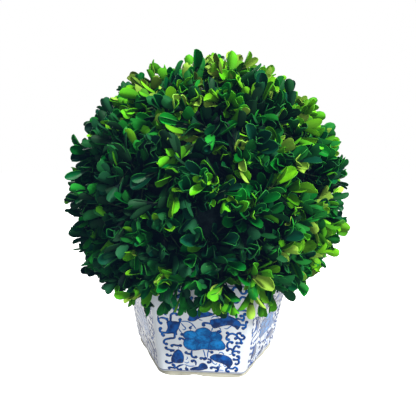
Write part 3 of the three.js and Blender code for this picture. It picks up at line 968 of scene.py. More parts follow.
class TOPIARY_OT_washes(bpy.types.Operator):
    """Paints the lotus petals and the dark leaves on all six panels, each with its brushed outline"""

    bl_idname = "topiary.washes"
    bl_label = "Painted Petals and Leaves"

    def execute(self, context):
        pot, painting = context.scene.topiary_pot, context.scene.topiary_painting
        relief = 0.7 * painting.relief
        leaf_dark = shade(painting.deep, 0.62)
        leaf_light = blend_colours(painting.middle, painting.deep, 0.35)
        petal_rings = ((1, 0), (0.97, 0.8 * relief), (0.8, relief), (0.45, relief))
        leaf_rings = ((1, 0), (0.98, relief))
        petal_colours = (painting.petal, painting.wash), (painting.wash, painting.deep)
        leaf_colours = (leaf_light, leaf_dark), (leaf_light, leaf_dark)
        kinds = (
            ("petals", PETALS, petal_veins(), petal_rings, *petal_colours),
            ("leaves", PAINTED_LEAVES, (), leaf_rings, *leaf_colours),
        )
        for name, outlines, veins, rings, wash_colours, outline_colours in kinds:
            model = wash_model("wash_model", outlines, rings)
            counts = [len(smooth_line(outline, WASH_STEP, closed=True)) for outline in outlines]
            pool = np.concatenate([np.repeat(np.linspace(1, 0, len(rings)), count) for count in counts])
            piece = lay_on_panels("painted_" + name, model, pot, painting, 1.0, lambda points: pool)
            piece.data.materials.append(cobalt_material("cobalt_" + name, *wash_colours, 0.8))
            finish(piece, "cobalt_painting")
            strokes = []
            for outline in outlines:
                line = smooth_line(outline, OUTLINE_STEP, closed=True) * MM
                line = np.concatenate([line, line[:2]])
                strokes.append((line, np.full(len(line), OUTLINE_WIDTH * painting.stroke)))
            for vein in veins:
                line = smooth_line(vein, VEIN_STEP) * MM
                width = VEIN_WIDTH * painting.stroke
                strokes.append((line, brush_radii(line, TAIL, TAIL, width, painting.ball)))
            model = stroke_model("outline_model", strokes)
            flatten = 2.6 * painting.relief / painting.stroke
            label = name + "_outline"
            piece = lay_on_panels("painted_" + label, model, pot, painting, flatten, even_pool(0.4))
            piece.data.materials.append(cobalt_material("cobalt_" + label, *outline_colours, 0.8))
            finish(piece, "cobalt_painting")
        return {"FINISHED"}


# ---------------------------------------------------------------- foam, stem and core

BLOCK_GAP = 0.6 * MM  # between the foam block and the pot's wall
BLOCK_CORNER = 5 * MM
BLOCK_RINGS = 10  # rings of faces on top of the block, so that it takes the dents
STEM_RADIUS = 7.1 * MM
STEM_SIDES = 48
STEM_CUTS = 40
STEM_TAPER = 0.8  # the stem's width at its top, of its width at the foot
FLARE, FLARE_HEIGHT = 0.55, 4 * MM  # how much wider the stem's foot is, and over what height
SOCKET_RADIUS = 8.6 * MM
SOCKET_ROOM = 1 * MM  # between the stem's top and the socket's
MOSS_SINK = 1.5 * MM  # how far the moss starts under the core's radius


def mottled_colour(board, shader, patches, colour, dark, light):
    """Lets the base colour wander between a darker and a lighter shade of one colour."""
    body = mix_colour(board, patches, shade(colour, dark), shade(colour, light))
    board.link(body, shader.inputs["Base Color"])


def foam_material(colour):
    material, board, shader, place = new_material("dry_foam")
    cells = board.add("ShaderNodeTexVoronoi", {"Vector": place, "Scale": 620.0})
    mottled_colour(board, shader, mottling(board, place, 70.0, 0.0, 1.0), colour, 0.7, 1.25)
    bump(board, shader, cells.outputs["Distance"], 0.7, 0.6 * MM)
    set_values(shader, Roughness=0.95)
    return material


def bark_material(name, colour, scale, distance):
    """Bark with ridges along Z."""
    material, board, shader, place = new_material(name)
    stretched = board.add("ShaderNodeMapping", {"Vector": place, "Scale": (1, 1, 0.22)}).outputs["Vector"]
    patches = mottling(board, stretched, scale, 0.0, 1.0)
    mottled_colour(board, shader, patches, colour, 0.55, 1.35)
    bump(board, shader, grain(board, stretched, 2.2 * scale, 0.4), 0.8, distance)
    set_values(shader, Roughness=0.85, Specular_IOR_Level=0.2)
    return material


# The core's near-black colour is painted shade for the depths of the ball.
def core_shade_material(colour):
    material, board, shader, place = new_material("core_moss")
    patches = mottling(board, place, 240.0, 0.0, 1.0)
    mottled_colour(board, shader, patches, colour, 0.5, 1.8)
    bump(board, shader, grain(board, place, 900.0, 0.4), 1.0, 1.5 * MM)
    set_values(shader, Roughness=1.0, Specular_IOR_Level=0.15)
    return material


class TOPIARY_OT_foam(bpy.types.Operator):
    """Models the dry foam block that fills the pot's lower half"""

    bl_idname = "topiary.foam"
    bl_label = "Foam Block"

    def execute(self, context):
        pot = context.scene.topiary_pot
        low, high = BLOCK_LOW.z, BLOCK_HIGH.z
        gap = pot.wall + BLOCK_GAP
        radii = [pot_radius(pot, level) - gap / FLAT_SHARE for level in (low, high)]
        piece = hexagonal_block("dry_foam_block", low, high, *radii, BLOCK_CORNER, 3)
        pick("FACE", lambda face: face.normal.z > FLAT)
        for ring in range(BLOCK_RINGS, 1, -1):
            bpy.ops.mesh.extrude_region_move(TRANSFORM_OT_translate={"value": (0, 0, 0)})
            smaller = (ring - 1) / ring
            bpy.ops.transform.resize(value=(smaller, smaller, 1), center_override=(0, 0, high))
        bpy.ops.mesh.select_all(action="SELECT")
        bpy.ops.mesh.subdivide(number_cuts=3)
        leave_edit(60)
        dents = clouds("foam_dents", 6 * MM)
        apply_modifier(piece, "DISPLACE", texture=dents, strength=0.9 * MM, mid_level=0.9)
        piece.data.materials.append(foam_material(context.scene.topiary_colours.foam))
        finish(piece, "dry_foam", "foam_block")
        return {"FINISHED"}


class TOPIARY_OT_stem(bpy.types.Operator):
    """Models the short stem between the foam block and the ball, with its flared foot and ridged bark"""

    bl_idname = "topiary.stem"
    bl_label = "Stem"

    def execute(self, context):
        low, high = STEM_LOW.z, STEM_HIGH.z
        deselect()
        bpy.ops.mesh.primitive_cylinder_add(
            vertices=STEM_SIDES, radius=STEM_RADIUS, depth=high - low, location=(0, 0, (low + high) / 2)
        )
        piece = begin("stem_bark")
        edit(piece)
        pick("EDGE", lambda edge: abs(edge.verts[0].co.z - edge.verts[1].co.z) > (high - low) / 2)
        bpy.ops.mesh.subdivide(number_cuts=STEM_CUTS)
        levels = STEM_CUTS + 1
        for step in range(levels + 1):
            level = between(low, high, step / levels)
            flare = 1 + FLARE * math.exp(-(level - low) / FLARE_HEIGHT)
            width = flare * between(1.0, STEM_TAPER, step / levels)
            pick("VERT", lambda vertex: abs(vertex.co.z - level) < 0.3 * MM)
            bpy.ops.transform.resize(value=(width, width, 1), center_override=(0, 0, level))
        leave_edit(60)
        ridges = clouds("bark_ridges", 3 * MM)
        apply_modifier(piece, "DISPLACE", texture=ridges, strength=1.6 * MM, mid_level=0.7)
        bark = context.scene.topiary_colours.bark
        piece.data.materials.append(bark_material("stem_bark", bark, 260.0, 0.8 * MM))
        finish(piece, "stem_bark", "stem")
        return {"FINISHED"}


class TOPIARY_OT_core(bpy.types.Operator):
    """Models the mossy core that the boughs are rooted in, with the stem's socket under it; its near-black
    colour is painted shade
    """

    bl_idname = "topiary.core"
    bl_label = "Mossy Core"

    def execute(self, context):
        foliage = context.scene.topiary_foliage
        centre = Vector((0, 0, foliage.centre_height))
        radius = foliage.core_radius - MOSS_SINK
        deselect()
        bpy.ops.mesh.primitive_ico_sphere_add(subdivisions=6, radius=radius, location=centre)
        piece = begin("mossy_core")
        lumps = clouds("moss_lumps", 9 * MM, 4)
        apply_modifier(piece, "DISPLACE", texture=lumps, strength=6 * MM, mid_level=0.5)
        edit(piece)

        def over_stem(face):
            return face.calc_center_median().xy.length < SOCKET_RADIUS and face.normal.z < 0

        pick("FACE", over_stem)
        rise = STEM_HIGH.z + SOCKET_ROOM - (centre.z - foliage.core_radius)
        bpy.ops.mesh.extrude_region_move(TRANSFORM_OT_translate={"value": (0, 0, rise)})
        leave_edit(60)
        piece.data.materials.append(core_shade_material(context.scene.topiary_colours.moss))
        finish(piece, "core_moss", "leaf_ball")
        return {"FINISHED"}


# ---------------------------------------------------------------- twigs and leaves

# Ways out of the ball in which a sprig stands out beyond the rest, and how far it does.
STRAYS = (
    (-0.92, -0.39, 0.055), (0.72, -0.39, 0.58), (0.86, -0.39, 0.33), (0.01, -0.39, 0.92), (0.5, 0.8, 0.3),
)
STRAY_REACH = 8 * MM
# Sprays that hang down over the pot: (x, y, z of the way out, how much steeper it hangs, how much lower).
HANGING = (
    (-0.17, -0.80, -0.57, 1.2, 12 * MM),
    (-0.04, -0.82, -0.57, 1.2, 12 * MM),
    (0.23, -0.79, -0.56, 0.5, 4 * MM),
    (0.35, -0.74, -0.55, 0.7, 3 * MM),
    (0.353, -0.796, -0.492, 1.4, 10 * MM),
    (0.42, -0.72, -0.53, 0.9, 6 * MM),
    (0.48, -0.70, -0.53, 1.2, 12 * MM),
)
# Further sprays where the ring over the pot's rim is thin, in the same terms.
FILLERS = ((0.44, -0.79, -0.42, 2.0, 1 * MM), (0.48, -0.77, -0.42, 2.4, 3 * MM))
LIFTS = (0.0, 0.2, 0.4, 0.6, 0.9, 1.3)  # a twig that would touch the pot is lifted clear of it, or left out
POT_CLEARANCE = 0.8 * MM
BOUGH_ROOT = 6 * MM  # how deep in the core a bough starts
BOUGH_LENGTH = 17 * MM
FORK_FROM = 0.45  # twigs fork from a bough between this share of its length and its tip
LEAF_ROOM = 0.8  # how far the leaves reach past a twig's tip, of their length
HEM_RISE_X, HEM_RISE = 60 * MM, 0.6  # the hem rises again past this X, at this slope
RING_LOW, RING_HIGH = -0.58, -0.44  # heights of the ring of twigs over the rim, of the unit sphere
# Leaf pairs on a fine twig, from its foot to its tip: (place along it, splay in radians, size, bend).
PAIRS = (
    (0.20, 0.66, 0.95, -0.10),
    (0.50, 0.49, 1.02, -0.06),
    (0.76, 0.36, 1.04, -0.02),
    (0.98, 0.21, 0.96, 0.03),
)
FINE_PAIRS = 2  # the pairs nearest the tip that get the finer leaf
# Painted shade: the leaves of the inner pairs, deep in the ball, are darker.
DEPTH_SHADES = (0.3, 0.6, 0.9, 1.0)  # how bright the leaves of each pair may be
# Half a leaf's outline, from its stalk to its tip: (place along it, width), both of 1.
FINE_OUTLINE = ((0, 0.10), (0.26, 0.54), (0.50, 0.88), (0.72, 1.0), (0.89, 0.80), (1, 0.44))
SLIM_OUTLINE = ((0, 0.08), (0.26, 0.42), (0.50, 0.68), (0.72, 0.78), (0.89, 0.63), (1, 0.34))
PLAIN_OUTLINE = ((0, 0.10), (0.34, 0.66), (0.66, 1.0), (0.88, 0.82), (1, 0.42))
# The models of a leaf: (outline, faces across it, cup, notch in its tip).
FINE_LEAVES = ((FINE_OUTLINE, 4, 0.24, 0.0), (FINE_OUTLINE, 4, 0.40, 0.02), (SLIM_OUTLINE, 4, 0.22, 0.0))
PLAIN_LEAVES = ((PLAIN_OUTLINE, 2, 0.18, 0.0), (PLAIN_OUTLINE, 2, 0.32, 0.0))
# Tints from oldest to youngest leaves, with how often a spray has each.
TINTS = (
    ("night", 0.20), ("spruce", 0.16), ("pine", 0.15), ("bottle", 0.14), ("emerald", 0.07), ("grass", 0.125),
    ("spring", 0.115), ("lime", 0.03), ("olive", 0.02), ("russet", 0.005),
)
YOUNGEST = 7  # the place of lime among the tints: those past it are ageing
# How much a leaf varies: in its turn, splay and roll in radians, its place on the twig, its bend and size.
TURN_SPREAD, SPLAY_SPREAD, ROLL_SPREAD = 1.3, 0.66, 1.2
PLACE_SPREAD, BEND_SPREAD, SIZES = 0.12, 0.3, (0.74, 1.12)
CUPS = (0.6, 1.5)  # the least and the most cupped leaf, of its model's cup
# A spray's tint follows its own luck, its neighbours' luck, and how far right, high or low it grows: there
# the leaves are younger and brighter, partly as painted light where the lamps fall.
OWN_LUCK, SHARED_LUCK, NEIGHBOURS = 0.62, 0.38, 5
HANGING_LUCK = 0.7
RIGHT_YOUNG_AND_LIT, HIGH_YOUNG_AND_LIT, LOW_YOUNG_AND_LIT = 0.24, 0.50, 0.30
LOW_FROM = -0.3  # sprays count as low under this height, of the unit sphere
# Shares of leaves that pass the hem, or are missing.
PAST_HEM, MISSING = 0.12, 0.1
# Shares of leaves younger, older and much younger than their spray: (at the first pair, more for each pair).
YOUNGER, OLDER, MUCH_YOUNGER = (0.06, 0.05), (0.35, -0.08), (0.03, 0.045)
MUCH = 3  # how many tints on a much younger leaf is


def chance(i, k):
    """A repeatable number from 0 to 1, for twig i and purpose k. Each purpose has a k of its own."""
    wave = np.sin(i * 12.9898 + k * 78.233 + 4.1414) * 43758.5453
    return wave - np.floor(wave)


def spread(count):
    """Directions spread evenly over the sphere by the golden angle, from the top down."""
    i = np.arange(count)
    z = 1 - (2 * i + 1) / count
    turn = i * math.pi * (3 - math.sqrt(5))
    flat = np.sqrt(1 - z * z)
    return np.stack([flat * np.cos(turn), flat * np.sin(turn), z], axis=1)


def hem_ring(count):
    """Directions round the ball, just above the pot's rim."""
    index = np.arange(count)
    turn = (index + chance(index, 13)) * 2 * math.pi / count
    z = between(RING_LOW, RING_HIGH, chance(index, 14))
    flat = np.sqrt(1 - z * z)
    return np.stack([flat * np.cos(turn), flat * np.sin(turn), z], axis=1)


def hem_height(foliage, x, hanging):
    """How low the foliage comes at each X: lower to the sides, but not past the pot's right edge."""
    past = np.clip(x - HEM_RISE_X, 0, None)
    return foliage.hem - foliage.hem_slope * np.abs(x) + HEM_RISE * past - hanging


def near_pot(pot, points):
    """Whether each point is in the pot, or nearer to it than the clearance."""
    angles = -math.pi / 2 + np.arange(SIDES) * math.pi / 3
    facing = np.stack([np.cos(angles), np.sin(angles)])
    flat = np.max(points[..., :2] @ facing, axis=-1)
    outside = (pot.base_radius + pot.flare * (points[..., 2] - pot.foot_height)) * FLAT_SHARE
    return (points[..., 2] < RIM + POT_CLEARANCE) & (flat < outside + POT_CLEARANCE)


def line_points(starts, ends, count):
    share = np.linspace(0, 1, count)[None, :, None]
    return starts[:, None] + (ends - starts)[:, None] * share


def grow_twigs(pot, foliage):
    """Boughs and fine twigs as (foot, tip) lines, by the rule of the solid ball.

    Each fine twig forks from the bough nearest to it and runs out to its own place on the sphere.
    """
    centre = np.array([0, 0, foliage.centre_height])
    boughs = spread(foliage.boughs)
    boughs = boughs[boughs[:, 2] >= foliage.lowest]
    index = np.arange(len(boughs))
    lean = np.stack([chance(index, k) for k in (2, 3, 4)], axis=1) - 0.5
    bough_along = unit(boughs + 2 * foliage.lean * lean * [1, 1, 0.6])
    bough_foot = centre + boughs * (foliage.core_radius - BOUGH_ROOT)
    bough_tip = bough_foot + bough_along * BOUGH_LENGTH
    out = spread(foliage.twigs)
    out = out[out[:, 2] >= foliage.lowest]
    fillers = np.array(FILLERS)
    out = np.concatenate([out, hem_ring(foliage.hem_twigs), unit(fillers[:, :3])])
    index = np.arange(len(out))
    parent = np.argmax(out @ boughs.T, axis=1)
    out = unit(out + foliage.clump * (boughs[parent] - out))
    fork = between(FORK_FROM, 1.0, chance(index, 7))[:, None]
    foot = bough_foot[parent] + (bough_tip - bough_foot)[parent] * fork
    reach = foliage.reach + foliage.reach_spread * (2 * chance(index, 1) - 1) + out @ np.array(foliage.skew)
    lean = np.stack([chance(index, k) for k in (2, 3, 4)], axis=1) - 0.5
    for stray in STRAYS:
        reach[np.argmax(out @ np.array(stray))] += STRAY_REACH
    goal = centre + unit(out + 2 * foliage.lean * lean) * (reach - foliage.twig_short)[:, None]
    droop = foliage.droop * np.clip(foliage.droop_from - out[:, 2], 0, None)
    hanging = np.zeros(len(out))
    for *way, steeper, lower in HANGING:
        nearest = np.argmax(out[:-len(fillers)] @ np.array(way))
        droop[nearest] += steeper
        hanging[nearest] = lower
    droop[-len(fillers):] += fillers[:, 3]
    hanging[-len(fillers):] = fillers[:, 4]
    tips = np.full_like(goal, np.nan)
    for lift in LIFTS:
        along = unit(goal - foot)
        along[:, 2] -= droop
        along[:, :2] += lift * unit(out[:, :2])
        along = unit(along)
        tried = foot + along * np.linalg.norm(goal - foot, axis=1)[:, None]
        ends = tried + along * foliage.leaf_length * LEAF_ROOM
        clear = ~np.any(near_pot(pot, line_points(foot, ends, 9)), axis=1) & np.isnan(tips[:, 0])
        tips[clear] = tried[clear]
    hem = hem_height(foliage, tips[:, 0], hanging)
    # A twig is left out where it would touch the pot, or where the leaves at its tip would pass the hem.
    ends = tips + unit(tips - foot) * foliage.leaf_length * LEAF_ROOM
    kept = ends[:, 2] > hem
    return {
        "bough_foot": bough_foot,
        "bough_tip": bough_tip,
        "index": index[kept],
        "out": out[kept],
        "foot": foot[kept],
        "tip": tips[kept],
        "reach": reach[kept],
        "hanging": hanging[kept],
    }


def tapered_twigs(foot, tip, foot_radius, tip_radius, bow, sides, rings):
    """Numbers and points of slightly bowed twigs, closed at both ends."""
    deselect()
    bpy.ops.mesh.primitive_cylinder_add(vertices=sides, radius=1, depth=1, location=(0, 0, 0.5))
    model = begin("twig_model")
    edit(model)
    pick("EDGE", lambda edge: abs(edge.verts[0].co.z - edge.verts[1].co.z) > 0.5)
    bpy.ops.mesh.subdivide(number_cuts=rings)
    leave_edit()
    numbers = mesh_numbers(model.data)
    bpy.data.objects.remove(model)
    x, y, up = numbers["co"].T
    along = tip - foot
    length = np.linalg.norm(along, axis=1)[:, None]
    first, second = crossways(unit(along))
    radius = between(foot_radius, tip_radius, up)[None, :, None]
    bend = (bow[:, None] * length * np.sin(math.pi * up)[None])[..., None]
    points = foot[:, None] + along[:, None] * up[None, :, None] + first[:, None] * bend
    points = points + radius * (first[:, None] * x[None, :, None] + second[:, None] * y[None, :, None])
    return numbers, points


def leaf_model(foliage, outline, columns, cup, notch):
    """Numbers of one leaf that runs along +X from the origin, with its upper face towards +Z.

    Its blade, its underside, its edge and its heel have material slots 0, 1, 2 and 3. The heel's darker
    colour is painted shade.
    """
    deselect()
    rows = len(outline) - 1
    bpy.ops.mesh.primitive_grid_add(x_subdivisions=rows, y_subdivisions=columns, size=1, calc_uvs=True)
    model = begin("leaf_model")
    edit(model)
    bpy.ops.mesh.select_all(action="SELECT")
    bpy.ops.transform.translate(value=(0.5 + rows, 0, 0))
    # The blade is cupped along its rib: its edges rise most.
    for share, rise in ((1.0, cup), (0.5, 0.24 * cup)):
        pick("VERT", lambda vertex: abs(abs(vertex.co.y) * 2 - share) < 0.01)
        bpy.ops.transform.translate(value=(0, 0, rise))
    for row, (place, width) in enumerate(outline):
        pick("VERT", lambda vertex: abs(vertex.co.x - rows - row / rows) < 0.01)
        bpy.ops.transform.resize(value=(1, width, width), center_override=(0, 0, 0))
        bpy.ops.transform.translate(value=(place - rows - row / rows, 0, 0))
    # The tip is rounded, and may have a notch in its middle.
    tip_half = outline[-1][1] / 2
    for share, back in ((1.0, 0.028), (0.5, 0.007)):
        pick("VERT", lambda vertex: vertex.co.x > 0.96 and abs(abs(vertex.co.y) - share * tip_half) < 0.01)
        bpy.ops.transform.translate(value=(-back, 0, 0))
    pick("VERT", lambda vertex: vertex.co.x > 0.99 and abs(vertex.co.y) < 0.01)
    bpy.ops.transform.translate(value=(-notch, 0, 0))
    bpy.ops.mesh.select_all(action="SELECT")
    size = (foliage.leaf_length, foliage.leaf_width, foliage.leaf_width)
    bpy.ops.transform.resize(value=size, center_override=(0, 0, 0))
    leave_edit()
    for _ in range(4):
        model.data.materials.append(None)
    slots = {"material_offset": 1, "material_offset_rim": 2}
    apply_modifier(model, "SOLIDIFY", thickness=foliage.leaf_thickness, offset=-1, **slots)
    edit(model)
    pick("FACE", lambda face: face.material_index == 2)
    bpy.ops.mesh.region_to_loop()
    bpy.ops.mesh.mark_sharp()
    # The faces at the leaf's foot take the heel slot, painted darker as shade.
    shaded_heel = foliage.leaf_length * outline[1][0] + TINY
    pick("FACE", lambda face: all(vertex.co.x < shaded_heel for vertex in face.verts))
    model.active_material_index = 3
    bpy.ops.object.material_slot_assign()
    leave_edit()
    numbers = mesh_numbers(model.data)
    bpy.data.objects.remove(model)
    return numbers


def leaf_frames(twigs, pair, which):
    """Root, three axes, size and bend of one leaf on each fine twig."""
    place, splay, size, bend = PAIRS[pair]
    index = twigs["index"]
    key = 20 + 2 * pair + which
    along = twigs["tip"] - twigs["foot"]
    root = twigs["foot"] + along * (place - PLACE_SPREAD * chance(index, key + 100))[:, None]
    along = unit(along)
    first, second = crossways(along)
    turn = chance(index, 5) * math.pi + pair * math.pi / 2 + which * math.pi
    turn = turn + TURN_SPREAD * (chance(index, key) - 0.5)
    splay = splay + SPLAY_SPREAD * (chance(index, key + 20) - 0.5)
    aside = first * np.cos(turn)[:, None] + second * np.sin(turn)[:, None]
    out = unit(along * np.cos(splay)[:, None] + aside * np.sin(splay)[:, None])
    side = unit(np.cross(along, out))
    up = np.cross(out, side)
    roll = (ROLL_SPREAD * (chance(index, key + 40) - 0.5))[:, None]
    side, up = side * np.cos(roll) + up * np.sin(roll), up * np.cos(roll) - side * np.sin(roll)
    size = size * between(*SIZES, chance(index, key + 60))
    bend = bend + BEND_SPREAD * (chance(index, key + 80) - 0.5)
    return root, out, side, up, size, bend


def leaf_points(numbers, root, out, side, up, size, bend, cup):
    """The points of a leaf copied to each frame, bent along its length."""
    x, y, z = numbers["co"].T
    length = x.max()
    size = size[:, None]
    lift = (z[None] * cup[:, None] + bend[:, None] * length * (x[None] / length) ** 2) * size
    along = x[None] * size
    across = y[None] * size
    return (
        root[:, None]
        + out[:, None] * along[..., None]
        + side[:, None] * across[..., None]
        + up[:, None] * lift[..., None]
    )


def size_in_reach(foliage, root, out, size, reach):
    """The size of a leaf on each twig, less where its tip would pass the reach."""
    centre = np.array([0, 0, foliage.centre_height])
    length = foliage.leaf_length * size
    for _ in range(10):
        tip = root + out * length[:, None]
        beyond = np.linalg.norm(tip - centre, axis=1) > reach
        length = np.where(beyond, length * 0.95, length)
    return length / foliage.leaf_length


def spray_tints(twigs):
    """The tint of each fine twig's leaves, by the place of its luck among all the others'."""
    index, out = twigs["index"], twigs["out"]
    luck = OWN_LUCK * chance(index, 9) + SHARED_LUCK * chance(np.floor(index / NEIGHBOURS), 10)
    luck = np.where(twigs["hanging"] > 0, HANGING_LUCK, luck)
    low = np.clip(LOW_FROM - out[:, 2], 0, None)
    high = np.clip(out[:, 2], 0, None) ** 2
    # Partly painted light: sprays to the right, high up and low down get younger, brighter tints.
    luck = luck + RIGHT_YOUNG_AND_LIT * out[:, 0] + HIGH_YOUNG_AND_LIT * high + LOW_YOUNG_AND_LIT * low
    order = np.argsort(np.argsort(luck)) / len(luck)
    limits = np.cumsum([weight for _, weight in TINTS])
    return np.minimum(np.searchsorted(limits, order * limits[-1]), len(TINTS) - 1)


def leaf_tints(tints, index, key, pair):
    """The tints of one leaf on each twig, given its spray's tint.

    Leaves near a spray's tip are sometimes younger, those deep inside older, and a few much younger.
    """
    def drawn(more, share):
        first, step = share
        return chance(index, key + more) < first + step * pair

    younger = drawn(40, YOUNGER) & (tints < YOUNGEST)
    older = drawn(60, OLDER) & (tints > 0) & (tints <= YOUNGEST)
    tint = tints + younger.astype(int) - older.astype(int)
    return np.where(tint <= YOUNGEST, np.minimum(tint + MUCH * drawn(70, MUCH_YOUNGER), YOUNGEST), tint)


def grow_leaves(pot, foliage, twigs, tints, pair, which, models):
    """One leaf of a pair on every twig, in batches: (tint, numbers of the model, points, brightness)."""
    *frame_of, size, bend = leaf_frames(twigs, pair, which)
    root, out = frame_of[:2]
    index = twigs["index"]
    key = 130 + 2 * pair + which
    kind = np.floor(chance(index, key) * len(models)).astype(int)
    cup = between(*CUPS, chance(index, key + 20))
    size = size_in_reach(foliage, root, out, size, twigs["reach"])
    hem = hem_height(foliage, root[:, 0], twigs["hanging"])
    hem = hem - foliage.hem_spread * (chance(index, key + 30) < PAST_HEM)
    grown = chance(index, key + 50) > MISSING
    tint = leaf_tints(tints, index, key, pair)
    for model, numbers in enumerate(models):
        for tint_here in range(len(TINTS)):
            chosen = (kind == model) & (tint == tint_here) & grown
            if not chosen.any():
                continue
            given = [values[chosen] for values in (*frame_of, size, bend, cup)]
            points = leaf_points(numbers, *given)
            clear = ~np.any(near_pot(pot, points), axis=1)
            clear &= points[..., 2].min(axis=1) > hem[chosen]
            # A random tone for each leaf, times its pair's painted shade.
            brightness = chance(index[chosen][clear], key + 80) * DEPTH_SHADES[pair]
            yield tint_here, numbers, points[clear], brightness


def leaf_material(name, dark, light, roughness, gloss):
    """One of a leaf's surfaces. Its colour drifts from leaf to leaf, darker on the inner pairs as painted
    shade, and is darker at its heel as painted shade.
    """
    material, board, shader, place = new_material(name)
    alike = board.add("ShaderNodeAttribute", attribute_name="shade").outputs["Fac"]
    body = mix_colour(board, alike, dark, light)
    body = mix_colour(board, mottling(board, place, 150.0, 0.0, 0.4), body, shade(dark, 1.2))
    # Painted shade: the colour darkens towards the leaf's heel, along its UV X.
    uv = board.add("ShaderNodeUVMap", uv_map="UVMap").outputs["UV"]
    along = board.add("ShaderNodeSeparateXYZ", {"Vector": uv}).outputs["X"]
    shaded_heel = board.ramp(along, 0.05, 0.7, 0.75, 0.0)
    body = mix_colour(board, shaded_heel, body, shade(dark, 0.25))
    board.link(body, shader.inputs["Base Color"])
    worn = mottling(board, place, 200.0, roughness, roughness + 0.15)
    board.link(worn, shader.inputs["Roughness"])
    set_values(shader, Specular_IOR_Level=gloss)
    return material, board, shader


def leaf_materials(name, colour):
    """Blade, underside, edge and heel of the leaves of one tint: the heel is painted shade, and the edge's
    pale rim is partly a painted highlight.
    """
    blade, board, shader = leaf_material("leaf_" + name, shade(colour, 0.5), shade(colour, 1.5), 0.34, 0.07)
    uv = board.add("ShaderNodeUVMap", uv_map="UVMap").outputs["UV"]
    slanted = board.add("ShaderNodeMapping", {"Vector": uv, "Rotation": (0, 0, 0.6)}).outputs["Vector"]
    veins = {"Vector": slanted, "Scale": 3.2, "Distortion": 1.0, "Detail": 1.0}
    veins = board.add("ShaderNodeTexWave", veins)
    bump(board, shader, veins.outputs["Fac"], 0.12, 0.25 * MM)
    underside = blend_colours(colour, (0.04, 0.16, 0.03), 0.14)
    under = leaf_material("leaf_" + name + "_under", shade(underside, 0.55), shade(underside, 1.5), 0.5, 0.05)
    # The edge is paler: partly the leaf's own pale margin, partly a painted highlight where light catches it.
    pale_rim_and_highlight = blend_colours(colour, (0.05, 0.42, 0.035), 0.55)
    edge = leaf_material("leaf_" + name + "_edge", shade(colour, 0.8), pale_rim_and_highlight, 0.45, 0.07)
    # Painted shade: the heel's colour is the tint darkened towards blue-black.
    heel_shade = blend_colours(shade(colour, 0.4), (0.004, 0.012, 0.014), 0.5)
    shaded_heel = leaf_material("leaf_" + name + "_heel", shade(heel_shade, 0.7), shade(heel_shade, 1.3), 0.6, 0.05)
    return blade, under[0], edge[0], shaded_heel[0]


class TOPIARY_OT_twigs(bpy.types.Operator):
    """Grows the boughs out of the core, and the fine twigs that fork from them"""

    bl_idname = "topiary.twigs"
    bl_label = "Twigs"

    def execute(self, context):
        scene = context.scene
        twigs = grow_twigs(scene.topiary_pot, scene.topiary_foliage)
        boughs = len(twigs["bough_foot"])
        bow = 0.1 * (chance(np.arange(boughs), 11) - 0.5)
        fine_bow = 0.12 * (chance(twigs["index"], 12) - 0.5)
        batches = [
            tapered_twigs(twigs["bough_foot"], twigs["bough_tip"], 1.7 * MM, 0.9 * MM, bow, 7, 3),
            tapered_twigs(twigs["foot"], twigs["tip"], 0.85 * MM, 0.35 * MM, fine_bow, 5, 3),
        ]
        piece = joined_copies("box_twigs", batches)
        piece.data.materials.append(bark_material("twig_bark", scene.topiary_colours.twig, 500.0, 0.3 * MM))
        finish(piece, "box_twigs")
        return {"FINISHED"}


class TOPIARY_OT_leaves(bpy.types.Operator):
    """Hangs the leaves on the fine twigs in crossed pairs, each spray in its own tint"""

    bl_idname = "topiary.leaves"
    bl_label = "Leaves"

    def execute(self, context):
        scene = context.scene
        pot, foliage = scene.topiary_pot, scene.topiary_foliage
        twigs = grow_twigs(pot, foliage)
        tints = spray_tints(twigs)
        fine = [leaf_model(foliage, *leaf) for leaf in FINE_LEAVES]
        plain = [leaf_model(foliage, *leaf) for leaf in PLAIN_LEAVES]
        batches, shades = [[] for _ in TINTS], [[] for _ in TINTS]
        for pair in range(len(PAIRS)):
            models = fine if pair >= len(PAIRS) - FINE_PAIRS else plain
            for which in range(2):
                grown = grow_leaves(pot, foliage, twigs, tints, pair, which, models)
                for tint, numbers, points, brightness in grown:
                    batches[tint].append((numbers, points))
                    shades[tint].append(np.repeat(brightness, points.shape[1]))
        for tint, (name, _) in enumerate(TINTS):
            piece = joined_copies("leaves_" + name, batches[tint], {"shade": shades[tint]})
            for material in leaf_materials(name, getattr(scene.topiary_colours, name)):
                piece.data.materials.append(material)
            finish(piece, "box_leaves")
        return {"FINISHED"}


# ---------------------------------------------------------------- stage

FLOOR_SIZE = 12
FLOOR_DROP = 0.2 * MM  # how far the floor lies under the pot, so that the two don't flicker
FLOOR_GREYS = (0.86, 0.9)
FLOOR_BOUNCE = 0.2  # the grey that the floor throws on the pot
FLOOR_GLOSS = 0.02  # the grey that the glaze reflects
GLOSS_EDGE = (-0.1, 0.0)  # the gloss's floor goes from dark to bright between these, along Y
# Soft lights: (name, place, size, whose power in the stage settings, times, colour).
LIGHTS = (
    ("key_light", (0.55, -0.65, 1.0), 0.3, "key", 1.0, (1.0, 0.99, 0.95)),
    ("front_fill", (0.25, -1.1, 0.1), 0.9, "fill", 1.0, (0.97, 0.99, 1.0)),
    ("back_fill", (-0.7, 0.8, 0.8), 0.9, "fill", 2.2, (0.98, 0.99, 1.0)),
)
SENSOR_WIDTH = 36  # in millimetres, as Blender keeps it


def grey(level):
    return (level, level, level)


def soft_light(name, place, target, size, power, colour):
    data = bpy.data.lights.new(name, "AREA")
    data.shape = "DISK"
    data.size = size
    data.energy = power
    data.color = colour
    light = bpy.data.objects.new(name, data)
    bpy.context.scene.collection.objects.link(light)
    light.location = place
    light.rotation_euler = (target - Vector(place)).to_track_quat("-Z", "Y").to_euler()


